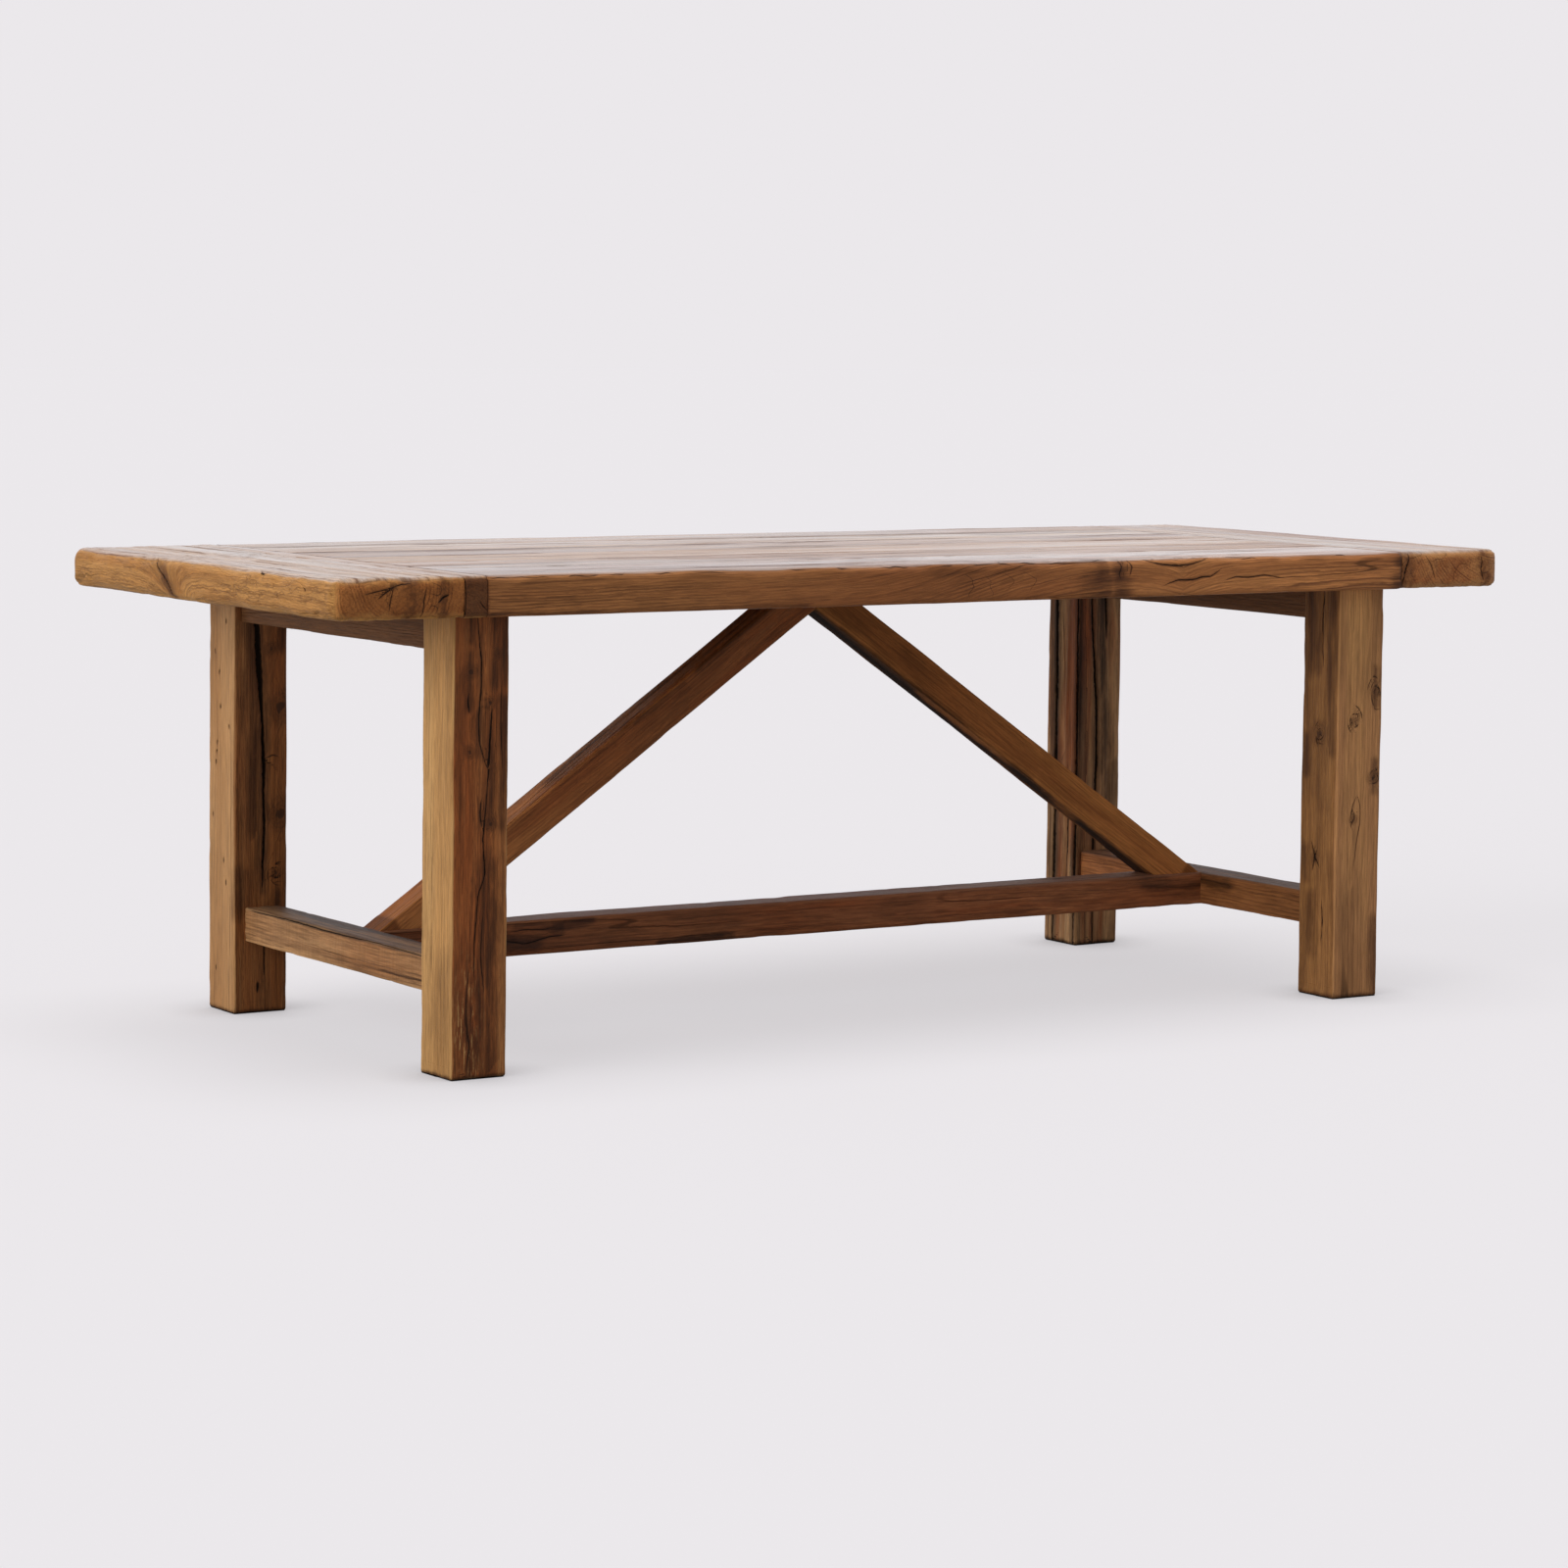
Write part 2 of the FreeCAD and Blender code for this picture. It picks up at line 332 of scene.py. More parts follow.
        # whatever lies past the arris's own square corner is drawn in to a quarter round
        over = self.math("MAXIMUM", self.less(out, self.less(ask["Top Corner"], arris)), 0.0)
        high = self.math("MAXIMUM", self.less(self.math("ABSOLUTE", up), self.less(half_thick, arris)), 0.0)
        slant = self.math("SQRT", self.add(self.times(over, over), self.times(high, high)))
        fold = self.math("DIVIDE", self.math("MAXIMUM", over, high), self.math("MAXIMUM", slant, TINY))
        drawn_in = self.less(1.0, fold)
        back = self.times(over, drawn_in)
        down = self.times(high, drawn_in, self.math("SIGN", up))
        side = self.vector("SCALE", self.vector("NORMALIZE", off), scale=self.less(out, back))
        round_x, round_y, _ = self.parts(self.vector("ADD", inner, side))
        rounded = self.xyz(round_x, round_y, self.less(z, down))

        # which points lie on an upper face, and how far each is from the rim
        gaps = self.vector("SUBTRACT", self.xyz(half_length, half_width, half_thick),
                           self.vector("ABSOLUTE", self.xyz(x, y, up)))
        rim = self.to_edge(gaps)
        on_top = self.step(z, self.add(ask["Top Middle"], 0.027), self.add(ask["Top Middle"], 0.031))
        on_top = self.times(on_top, ask["In Top"], self.step(rim, 0.001, 0.006))
        _, _, lift = self.parts(self.kept("grain", "FLOAT_VECTOR"))
        own_half = self.times(ask["Thickness"], 0.5)
        on_rail = self.step(lift, self.less(own_half, 0.006), self.less(own_half, 0.001))
        shape = self.keep(shape, "upper", self.add(on_top, self.times(on_rail, ask["Upper Face"])))
        shape = self.keep(shape, "rim", self.between(ask["In Top"], self.kept("edge"), rim))
        share = self.node("ShaderNodeMix", data_type="VECTOR")
        self.put(share.inputs[0], ask["In Top"])
        self.put(share.inputs[4], p)
        self.put(share.inputs[5], rounded)
        return self.move(shape, "Position", share.outputs[1])

    def nearest(self, cloud):
        """A way to read the nearest point of a cloud of marks."""
        info = self.node("GeometryNodeObjectInfo", transform_space="ORIGINAL")
        self.put(info.inputs["Object"], self.ask[cloud])
        points = info.outputs["Geometry"]
        find = self.node("GeometryNodeSampleNearest", domain="POINT")
        self.put(find.inputs["Geometry"], points)
        self.put(find.inputs["Sample Position"], self.position())

        def read(value, kind="FLOAT"):
            made = self.node("GeometryNodeSampleIndex", data_type=kind, domain="POINT")
            self.put(made.inputs["Geometry"], points)
            self.put(made.inputs["Value"], value)
            self.put(made.inputs["Index"], find.outputs[0])
            return made.outputs[0]
        return read

    def radii_off(self, cloud):
        """How far the nearest knot or stain is, in its own radii."""
        read = self.nearest(cloud)
        far = self.vector("DISTANCE", self.position(), read(self.position(), "FLOAT_VECTOR"))
        return self.math("MINIMUM", self.math("DIVIDE", far, read(self.kept("half_width"))), self.FAR_OFF)

    def marked(self, shape):
        """Keeps where the nearest crack, knot and stain are, for the wood's colours."""
        read = self.nearest("Cracks")
        off = self.vector("SUBTRACT", self.position(), read(self.position(), "FLOAT_VECTOR"))
        far, wide = self.vector("LENGTH", off), read(self.kept("half_width"))
        sideways = self.vector("DOT_PRODUCT", off, read(self.kept("side", "FLOAT_VECTOR"), "FLOAT_VECTOR"))
        shape = self.keep(shape, "crack_side", sideways)
        fade = self.fall(far, self.add(self.times(wide, 4.0), 0.003), self.add(self.times(wide, 6.0), 0.008))
        inked = self.times(wide, fade, read(self.kept("ink")))
        shape = self.keep(shape, "crack_width", self.add(inked, TINY))
        shape = self.keep(shape, "knot", self.radii_off("Knots"))
        shape = self.keep(shape, "stain", self.radii_off("Stains"))
        return shape, far, wide, read(self.kept("depth"))

    def worn(self, shape, crack_far, crack_wide, crack_deep):
        """Every point sinks inwards: waves, ridges and grooves along the grain, chips, edges, cracks."""
        ask = self.ask
        grain, edge = self.kept("grain", "FLOAT_VECTOR"), self.kept("edge")
        along, across, _ = self.parts(grain)
        waves = self.times(ask["Wave"], self.step(self.figure(grain, 2.4, 10.0, 0.3, 1.0), 0.42, 0.8))
        ridges = self.times(ask["Relief"], self.step(self.figure(grain, 5.0, 80.0, 1.7), 0.38, 0.7))
        grooves = self.times(ask["Groove"], self.step(self.figure(grain, 1.1, 30.0, 3.1), 0.53, 0.68))
        chips = self.times(ask["Chip"], self.fall(edge, 0.0, 0.014),
                           self.step(self.figure(grain, 15.0, 30.0, 5.3), 0.54, 0.74))
        rubbed = self.times(ask["Edge Wear"], self.fall(edge, 0.0, 0.008),
                            self.step(self.figure(grain, 7.0, 4.0, 7.9), 0.3, 0.7))

        # the faces hidden in a joint stay nearly flat
        half_width = self.times(ask["Width"], 0.5)
        from_end = self.less(self.times(ask["Length"], 0.5), self.math("ABSOLUTE", along))
        shape = self.keep(shape, "end_face", self.fall(from_end, 0.001, 0.006))
        on_end = self.math("LESS_THAN", from_end, self.ON_FACE)
        on_back = self.math("GREATER_THAN", across, self.less(half_width, self.ON_FACE))
        on_front = self.math("LESS_THAN", across, self.less(self.ON_FACE, half_width))
        allowed = self.times(self.between(on_end, 1.0, ask["End Relief"]),
                             self.between(on_back, 1.0, ask["Back Relief"]),
                             self.between(on_front, 1.0, ask["Front Relief"]))

        ragged = self.noise(self.vector("SCALE", self.position(), scale=160.0), ask["Seed"])
        ragged_far = self.times(crack_far, self.step(ragged, 0.3, 0.7, 0.7, 1.3))
        in_crack = self.math("DIVIDE", ragged_far, self.math("MAXIMUM", crack_wide, 0.0012))
        opened = self.times(crack_deep, self.fall(in_crack, 0.15, 1.0))
        depth = self.add(self.times(self.add(waves, ridges, grooves, chips, rubbed), allowed), opened)
        normal = self.node("GeometryNodeInputNormal").outputs[0]
        return self.move(shape, "Offset", self.vector("SCALE", normal, scale=self.times(depth, -1.0)))

    def finish(self, shape):
        smooth = self.node("GeometryNodeSetShadeSmooth")
        self.put(smooth.inputs[0], shape)
        real = self.node("GeometryNodeRealizeInstances")
        self.put(real.inputs[0], smooth.outputs[0])
        wood = self.node("GeometryNodeSetMaterial")
        self.put(wood.inputs["Geometry"], real.outputs[0])
        self.put(wood.inputs["Material"], self.ask["Wood"])
        self.put(self.give["Timber"], wood.outputs[0])


TIMBER = TimberTree().tree
TIMBER_INPUTS = {s.name: s.identifier for s in TIMBER.interface.items_tree if s.in_out == "INPUT"}


# Marks on a timber: cracks, stains and knots, written on its faces in mm

class Face:
    """One upright face, for writing marks on it. A place on it is (along, up), and a path is a few places."""
    LOOKS_TO = {"front": Vector((0, -1, 0)), "left": Vector((-1, 0, 0))}

    def __init__(self, side, level):
        self.side, self.level = side, level
        self.normal = self.LOOKS_TO[side]

    def point(self, along, up):
        return Vector((along, self.level, up) if self.side == "front" else (self.level, along, up))

    def cracks(self, *rows):
        """Each row is a width, a depth, the path, and how dark the crack is where it isn't black."""
        return tuple((self, path, width, depth, ink[0] if ink else 1.0) for width, depth, path, *ink in rows)

    def stains(self, *rows):
        """Each row is a width and the path."""
        return tuple((self, path, width, 0.0, 1.0) for width, path in rows)

    def knots(self, *rows):
        """Each row is a place and a radius."""
        return tuple((self.point(along, up), radius) for along, up, radius in rows)

    def wrinkles(self, along, up, wide, tall, seed):
        """Short, thin, crooked lines crumpled round a knot."""
        dice = random.Random(seed)
        rows = []
        for _ in range(9):
            angle, reach = dice.uniform(0.0, math.tau), dice.uniform(0.1, 0.55)
            lean = dice.uniform(-0.09, 0.09)
            curl = []
            for _ in range(3):
                curl.append((along + wide * reach * math.cos(angle), up + tall * reach * math.sin(angle)))
                angle += dice.uniform(0.2, 0.45) / (reach + 0.25)
                reach += lean
            rows.append((dice.uniform(0.7, 1.6), 0.6, tuple(curl)))
        return self.cracks(*rows)

    def chips(self, level, seed, *places):
        """Shallow chips along an edge, each with its middle and half its length."""
        dice = random.Random(seed)
        rows = []
        for middle, half in places:
            path = tuple((middle + half * share, level + dice.uniform(-1.8, 1.8))
                         for share in (-1.0, -0.5, 0.0, 0.6, 1.0))
            rows.append((dice.uniform(0.8, 2.0), 0.8, path, 0.65))
        return self.cracks(*rows)


LINE_PITCH = 1.3
EASING_PASSES = 6
NO_SIDE = Vector((1, 0, 0))


def eased_line(corners):
    """Points close together along a path, drawn to an easy line through its corners."""
    line = []
    for first, second in zip(corners, corners[1:]):
        count = max(2, int((second - first).length / LINE_PITCH))
        line += [first.lerp(second, i / count) for i in range(count)]
    line.append(corners[-1])
    for _ in range(EASING_PASSES):
        inside = [(a + b + c) / 3 for a, b, c in zip(line, line[1:], line[2:])]
        line = [line[0]] + inside + [line[-1]]
    return line


def line_points(marks, seed, even=False):
    """Points along each crack or stain, with a little wander. Cracks run out to nothing at both ends;
    even lines keep their width."""
    dice = random.Random(seed)
    points = [(FAR_BELOW, TINY, 0.0, NO_SIDE, 0.0)]
    for face, path, width, depth, ink in marks:
        line = eased_line([face.point(*place) for place in path])
        last = len(line) - 1
        wander = 0.0
        for i, point in enumerate(line):
            ahead = (line[min(i + 3, last)] - line[max(i - 3, 0)]).normalized()
            side = ahead.cross(face.normal).normalized()
            wander = 0.9 * wander + dice.uniform(-0.16, 0.16)
            swell = 1.0
            if not even:
                taper = max(0.0, math.sin(math.pi * (i / last))) ** 0.45
                swell = taper * (0.9 + 0.12 * math.sin(0.05 * i + seed))
            half_width = max(width * 0.5 * swell, 0.05)
            points.append(((point + side * wander) * MM, half_width * MM, depth * swell * MM, side, ink))
    return points


def knot_points(knots):
    points = [(FAR_BELOW, 1.0, 0.0, NO_SIDE, 0.0)]
    return points + [(place * MM, radius * MM, 0.0, NO_SIDE, 0.0) for place, radius in knots]


def mark_cloud(name, points):
    """A loose cloud of points with a half width, a depth, a sideways direction and a darkness at each."""
    places, half_widths, depths, sides, inks = zip(*points)
    mesh = bpy.data.meshes.new(name)
    mesh.from_pydata(places, [], [])
    for key, values in (("half_width", half_widths), ("depth", depths), ("ink", inks)):
        mesh.attributes.new(key, "FLOAT", "POINT").data.foreach_set("value", values)
    flat = [v for side in sides for v in side]
    mesh.attributes.new("side", "FLOAT_VECTOR", "POINT").data.foreach_set("vector", flat)
    made = bpy.data.objects.new(name, mesh)
    bpy.context.scene.collection.objects.link(made)
    return made


def make_timber(node, slot, material, cracks=(), knots=(), stains=(), **values):
    """Builds one timber from the tree, turns it into a plain mesh and lets it stand for its CAD node."""
    mark_seed = int(values["seed"] * 10)
    clouds = {
        "Cracks": mark_cloud(node + "_crack_lines", line_points(cracks, mark_seed)),
        "Knots": mark_cloud(node + "_knot_points", knot_points(knots)),
        "Stains": mark_cloud(node + "_stain_lines", line_points(stains, mark_seed + 1, even=True)),
    }
    seat = bpy.data.objects.new(node + "_seat", bpy.data.meshes.new(node + "_seat"))
    bpy.context.scene.collection.objects.link(seat)
    grow = seat.modifiers.new("timber", "NODES")
    grow.node_group = TIMBER
    for word, value in values.items():
        grow[TIMBER_INPUTS[socket_name(word)]] = value
    for name, cloud in clouds.items():
        grow[TIMBER_INPUTS[name]] = cloud
    grow[TIMBER_INPUTS["Wood"]] = material
    ready = seat.evaluated_get(bpy.context.evaluated_depsgraph_get())
    mesh = bpy.data.meshes.new_from_object(ready)
    mesh.name = node + "_timber"
    for spare in (seat, *clouds.values()):
        bpy.data.objects.remove(spare)
    piece = bpy.data.objects.new(node + "_timber", mesh)
    bpy.context.scene.collection.objects.link(piece)
    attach(piece, "root")
    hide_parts(node)
    return piece


# Old wood

HONEY = tone(200, 150, 92)
GOLD = tone(182, 128, 72)
TAWNY = tone(160, 104, 58)
RUSSET = tone(134, 80, 44)
CHESTNUT = tone(106, 62, 34)
UMBER = tone(70, 41, 24)
SOIL = tone(37, 22, 14)
# grey of weathered wood; on the top it also stands for painted sheen
ASH_AND_SHEEN_GREY = tone(190, 186, 184)
RUST_RED = tone(152, 78, 37)
LAMP_BLACK = (0.004, 0.0025, 0.0018, 1.0)
CRACK_BLACK = (0.006, 0.004, 0.003, 1.0)


class WoodTree(GrainTree):
    """Rings round a pith, pores, fibres, knots, fine drying cracks, stains and worn edges, all laid out in
    the timber's own grain. Each step lays its own colours over those before it."""

    INPUTS = (
        # marks kept on the timber's surface
        ("Grain", "Vector", (0.0, 0.0, 0.0)), ("Knot", "Float", 12.0), ("Crack Side", "Float", 1.0),
        ("Crack Width", "Float", TINY), ("Edge", "Float", 1.0), ("Rim", "Float", 1.0),
        ("Stain", "Float", 12.0), ("End Face", "Float", 0.0), ("Upper", "Float", 0.0),
        # how the grain runs
        ("Seed", "Float", 0.0), ("Pith", "Vector", (0.0, 0.03, -0.1)), ("Ring Width", "Float", 0.005),
        ("Figure", "Float", 1.6), ("Wander", "Float", 0.02), ("Ripple", "Float", 0.001),
        ("Layers", "Float", 0.0), ("Swell", "Float", 0.0), ("Swell At", "Float", 0.0),
        ("Swell Reach", "Float", 0.2), ("Dip", "Float", 0.0), ("Dip At", "Float", 0.0),
        ("Dip Reach", "Float", 0.05), ("Dip Lean", "Float", 0.0),
        ("Heart", "Float", 0.0), ("Heart Edge", "Float", 0.82), ("Heart Wave", "Float", 0.05),
        # colours
        ("Pale", "Color", (0.5, 0.3, 0.12, 1.0)), ("Body", "Color", (0.3, 0.15, 0.06, 1.0)),
        ("Heartwood", "Color", (0.2, 0.08, 0.03, 1.0)), ("Dark", "Color", (0.1, 0.05, 0.02, 1.0)),
        ("Grey", "Color", (0.4, 0.36, 0.3, 1.0)), ("End Tint", "Color", (0.5, 0.45, 0.4, 1.0)),
        ("Start Tone", "Float", 1.0), ("End Tone", "Float", 1.0), ("Tone Reach", "Float", 0.9),
        # how strong each figure is
        ("Rings", "Float", 0.5), ("Pores", "Float", 0.5), ("Streaks", "Float", 0.5), ("Stains", "Float", 0.3),
        ("Checks", "Float", 0.6), ("Pin Knots", "Float", 0.3), ("Soot", "Float", 0.0), ("Rust", "Float", 0.0),
        # wear, painted edge highlights, painted sheen and finish
        ("Bleach", "Float", 0.0), ("Nicks", "Float", 0.0), ("Saw Marks", "Float", 0.0),
        ("Seam Dirt", "Float", 0.0), ("Worn Edges", "Float", 0.4), ("Worn Reach", "Float", 0.006),
        ("Torn", "Float", 0.0), ("Torn At", "Float", 0.0), ("Torn Reach", "Float", 0.05),
        ("Torn Side", "Float", 0.0),
        ("Roughness", "Float", 0.5), ("Sheen", "Float", 0.0), ("Wax Lines", "Float", 26.0),
    )
    OUTPUTS = (("Color", "Color"), ("Roughness", "Float"), ("Height", "Float"), ("Wax", "Float"))
    TORN_HALF_WIDTH = 0.022

    def __init__(self):
        super().__init__("Old wood", "ShaderNodeTree", self.INPUTS, self.OUTPUTS)
        self.grain, self.ends = self.ask["Grain"], self.ask["End Face"]
        self.along, self.across, self.up = self.parts(self.grain)
        self.colour = None
        self.bend_grain()
        self.grow_knots()
        self.grow_rings()
        self.colour_wood()
        self.darken()
        self.tear()
        self.wear_and_highlight_edges()
        self.blacken()
        self.rub_wax()
        self.finish()

    def lay(self, share, colour):
        """Lays a colour over what is there, by a share."""
        self.colour = self.blend(share, self.colour, colour)

    def lay_dark(self, *shares):
        self.lay(self.times(*shares), self.ask["Dark"])

    def off_half(self, cloud):
        """A cloud's own value about nothing."""
        return self.less(cloud, 0.5)

    def pushed(self, place, along, across, shift, amount, detail=2.0):
        """The place pushed across the grain by a cloud."""
        cloud = self.figure(self.grain, along, across, shift, detail, colour=True)
        push = self.vector("MULTIPLY", self.vector("SUBTRACT", cloud, (0.5, 0.5, 0.5)), (0.0, 1.0, 1.0))
        return self.vector("ADD", place, self.vector("SCALE", push, scale=amount))

    def bend_grain(self):
        """The grain climbs across the face in one place, dips in another, wanders, and ripples."""
        ask = self.ask
        past_swell = self.math("DIVIDE", self.less(self.along, ask["Swell At"]), ask["Swell Reach"])
        climb = self.times(self.math("TANH", past_swell), ask["Swell"])
        past_dip = self.less(self.less(self.along, ask["Dip At"]), self.times(ask["Dip Lean"], self.up))
        fade = self.math("DIVIDE", self.math("ABSOLUTE", past_dip), self.times(ask["Dip Reach"], -1.0))
        dip = self.times(self.math("EXPONENT", fade), ask["Dip"])
        bent = self.vector("ADD", self.grain, self.xyz(0.0, 0.0, self.less(dip, climb)))
        bent = self.pushed(bent, 1.4, 6.0, 0.0, ask["Wander"])
        bent = self.pushed(bent, 7.0, 24.0, 1.1, self.times(ask["Wander"], 0.22))
        self.bent = self.pushed(bent, 60.0, 45.0, 1.9, ask["Ripple"], 3.0)

    def grow_knots(self):
        """Knots: the ones listed, and small ones scattered in the wood."""
        ask = self.ask
        scatter = self.node("ShaderNodeTexVoronoi", voronoi_dimensions="4D", feature="F1")
        self.put(scatter.inputs["Vector"], self.vector("MULTIPLY", self.bent, (5.0, 16.0, 16.0)))
        self.put(scatter.inputs["W"], self.times(ask["Seed"], 3.7))
        self.put(scatter.inputs["Scale"], 1.0)
        lucky, _, _ = self.parts(scatter.outputs["Color"])
        pin_far = self.math("DIVIDE", scatter.outputs["Distance"], self.step(lucky, 0.5, 1.0, 0.02, 0.15))
        self.pin_pull = self.times(self.fall(pin_far, 0.2, 3.2), ask["Pin Knots"])
        self.knot_pull = self.fall(ask["Knot"], 0.3, 4.0)
        self.rag = self.figure(self.grain, 60.0, 160.0, 9.1)
        pin_core = self.times(self.fall(self.add(pin_far, self.times(self.rag, 0.5)), 0.75, 1.35),
                              self.step(ask["Pin Knots"], 0.0, 0.5))
        lump = self.off_half(self.figure(self.grain, 34.0, 70.0, 9.7))
        self.knot_far = self.add(ask["Knot"], self.times(self.off_half(self.rag), 1.1), self.times(lump, 1.5))
        self.core = self.math("MAXIMUM", pin_core, self.fall(self.knot_far, 0.2, 0.55))
        turns = self.step(self.math("FRACT", self.times(self.knot_far, 2.6)), 0.4, 0.85)
        self.knot_rings = self.times(turns, self.fall(self.knot_far, 1.1, 1.9))

    def grow_rings(self):
        """Year rings, each one its own strength: a thin dark line, then a line of open pores."""
        ask, bent = self.ask, self.bent
        _, _, level = self.parts(bent)
        _, out_y, out_z = self.parts(self.vector("SUBTRACT", bent, ask["Pith"]))
        self.radius = self.math("SQRT", self.add(self.times(out_y, out_y), self.times(out_z, out_z)))
        phase = self.add(self.math("DIVIDE", self.radius, ask["Ring Width"]),
                         self.times(self.knot_pull, self.knot_pull, 2.2),
                         self.times(self.pin_pull, 0.9),
                         self.times(self.figure(bent, 1.6, 18.0, 2.2), ask["Figure"]),
                         self.times(self.figure(bent, 14.0, 60.0, 2.6), 0.5),
                         self.times(level, ask["Layers"], self.less(1.0, self.ends)))
        year = self.math("FRACT", phase)
        own = self.node("ShaderNodeTexWhiteNoise", noise_dimensions="2D")
        self.put(own.inputs["Vector"], self.xyz(self.math("FLOOR", phase), ask["Seed"], 0.0))
        strong = self.step(own.outputs["Value"], 0.0, 1.0, 0.15, 1.0)
        cloudy = self.figure(self.grain, 2.5, 18.0, 3.3, 3.0)
        clear = self.times(self.step(cloudy, 0.3, 0.6, 0.2, 1.0), strong)
        self.band = self.times(self.step(year, 0.5, 0.9), self.fall(year, 0.94, 1.0), clear)
        line = self.times(self.fall(year, 0.0, 0.3), clear)
        dash = self.step(self.figure(bent, 22.0, 330.0, 2.9, 1.0), 0.52, 0.6)
        speck = self.step(self.figure(bent, 75.0, 800.0, 3.7, 1.0), 0.52, 0.62)
        self.pore = self.math("MAXIMUM", self.times(dash, self.add(0.3, self.times(line, 0.7))),
                              self.times(speck, self.add(0.2, self.times(line, 0.5))))

    def colour_wood(self):
        """Pale and dark wood, the heart, which on some timbers is painted shade over a face, rust, smoke,
        rings, streaks and pores.
        """
        ask, bent = self.ask, self.bent
        self.fibre = self.figure(bent, 16.0, 480.0, 4.4, 3.0, 0.65)
        self.streak = self.figure(bent, 2.6, 110.0, 5.5, 4.0, 0.65)
        broad = self.figure(bent, 0.9, 24.0, 6.6, 2.0)
        cloud = self.figure(self.grain, 1.4, 7.0, 7.7, 2.0)
        mixed = self.add(self.times(cloud, 0.55), self.times(broad, 0.45))
        self.colour = self.blend(self.step(mixed, 0.38, 0.62), ask["Pale"], ask["Body"])

        wavy = self.add(self.radius, self.times(self.off_half(cloud), ask["Heart Wave"]))
        heart_from = self.times(ask["Heart"], ask["Heart Edge"])
        # on some timbers the heart is laid over one face as painted shade
        self.in_heart_and_shade = self.fall(wavy, heart_from, self.add(ask["Heart"], 1e-5))
        self.lay(self.times(self.in_heart_and_shade, self.step(broad, 0.3, 0.6, 0.7, 1.0)), ask["Heartwood"])
        # without a heart the whole timber takes rust and smoke
        sooty = self.math("MAXIMUM", self.in_heart_and_shade, self.math("LESS_THAN", ask["Heart"], 0.001))
        marked = self.between(sooty, 0.4, 1.0)
        rusty = self.step(self.figure(bent, 3.2, 30.0, 20.6, 3.0), 0.42, 0.68)
        self.lay(self.times(rusty, sooty, ask["Rust"]), RUST_RED)
        self.lay_dark(self.step(self.figure(bent, 6.0, 40.0, 19.4, 5.0, 0.68), 0.44, 0.7), sooty, ask["Soot"])
        self.lay_dark(self.band, ask["Rings"], self.add(1.0, self.times(self.ends, 0.3)), marked)
        self.lay_dark(self.step(self.streak, 0.55, 0.7), ask["Streaks"], marked)
        self.lay(self.times(self.fall(self.streak, 0.3, 0.45), ask["Streaks"], 0.35), ask["Pale"])
        self.lay_dark(self.pore, ask["Pores"], marked)

    def darken(self):
        """Greyed upper faces, partly weathering and partly painted sheen, blots, and the tone along the
        timber and at its ends.
        """
        ask = self.ask
        grey_patches = self.step(self.figure(self.grain, 1.6, 16.0, 8.8, 3.0, 0.6), 0.42, 0.66)
        # on the top this grey is partly painted sheen, the pale reflection of the backdrop
        greyed_and_painted_sheen = self.times(ask["Upper"], ask["Bleach"], self.step(grey_patches, 0.0, 1.0, 0.45, 1.0))
        self.lay(greyed_and_painted_sheen, ask["Grey"])
        blots = self.figure(self.grain, 4.0, 14.0, 10.2, 3.0, 0.55)
        self.lay_dark(self.step(blots, 0.5, 0.72), ask["Stains"])
        reach = ask["Tone Reach"]
        drift = self.step(self.along, self.times(reach, -1.0), reach, ask["Start Tone"], ask["End Tone"])
        shade = self.times(self.step(self.fibre, 0.3, 0.7, 0.75, 1.22), drift)
        self.colour = self.blend(1.0, self.colour, self.xyz(shade, shade, shade), "MULTIPLY")
        self.lay(self.ends, self.blend(1.0, self.colour, ask["End Tint"], "MULTIPLY"))

    def tear(self):
        """Thin crooked lines where the saw tore the fibres, a torn patch, and saw marks across the grain."""
        ask = self.ask
        nick = self.math("ABSOLUTE", self.off_half(self.figure(self.bent, 20.0, 150.0, 21.3)))
        here = self.step(self.figure(self.grain, 10.0, 40.0, 22.1), 0.38, 0.6)
        sawn_side = self.less(1.0, self.math("MAXIMUM", self.ends, ask["Upper"]))
        self.slit = self.times(self.fall(nick, 0.01, 0.045), here, ask["Nicks"], sawn_side)
        self.lay_dark(self.slit)

        # pale flecks and dark pits
        away = self.math("DIVIDE", self.less(self.along, ask["Torn At"]), ask["Torn Reach"])
        beside = self.math("DIVIDE", self.less(self.across, ask["Torn Side"]), self.TORN_HALF_WIDTH)
        spread = self.times(self.add(self.times(away, away), self.times(beside, beside)), -1.0)
        patch = self.times(self.math("EXPONENT", spread), ask["Torn"], self.in_heart_and_shade)
        fleck = self.figure(self.grain, 40.0, 430.0, 18.3, 4.0, 0.7)
        self.lay_dark(patch, self.fall(fleck, 0.36, 0.52))
        self.lay(self.times(patch, self.step(fleck, 0.55, 0.6)), ask["Pale"])

        teeth = self.step(self.figure(self.grain, 260.0, 9.0, 11.3, 1.0), 0.4, 0.62)
        self.saw = self.times(teeth, ask["Saw Marks"])
        self.lay_dark(self.saw, 0.35)

    def wear_and_highlight_edges(self):
        """Edges rubbed pale, partly wear and partly painted highlight, and dirt in the seams."""
        ask = self.ask
        uneven = self.off_half(self.figure(self.grain, 9.0, 60.0, 12.4))
        rim = self.add(ask["Rim"], self.times(uneven, ask["Worn Reach"], 2.0))
        # pale along the arrises: partly rubbed wear, partly painted highlight where the edge catches the
        # light
        self.lay(self.times(self.fall(rim, 0.0005, ask["Worn Reach"]), ask["Worn Edges"]), ask["Pale"])
        seam = self.fall(self.add(ask["Edge"], self.times(uneven, 0.008)), 0.0, 0.0035)
        self.lay_dark(seam, self.step(ask["Rim"], 0.002, 0.012), ask["Seam Dirt"])

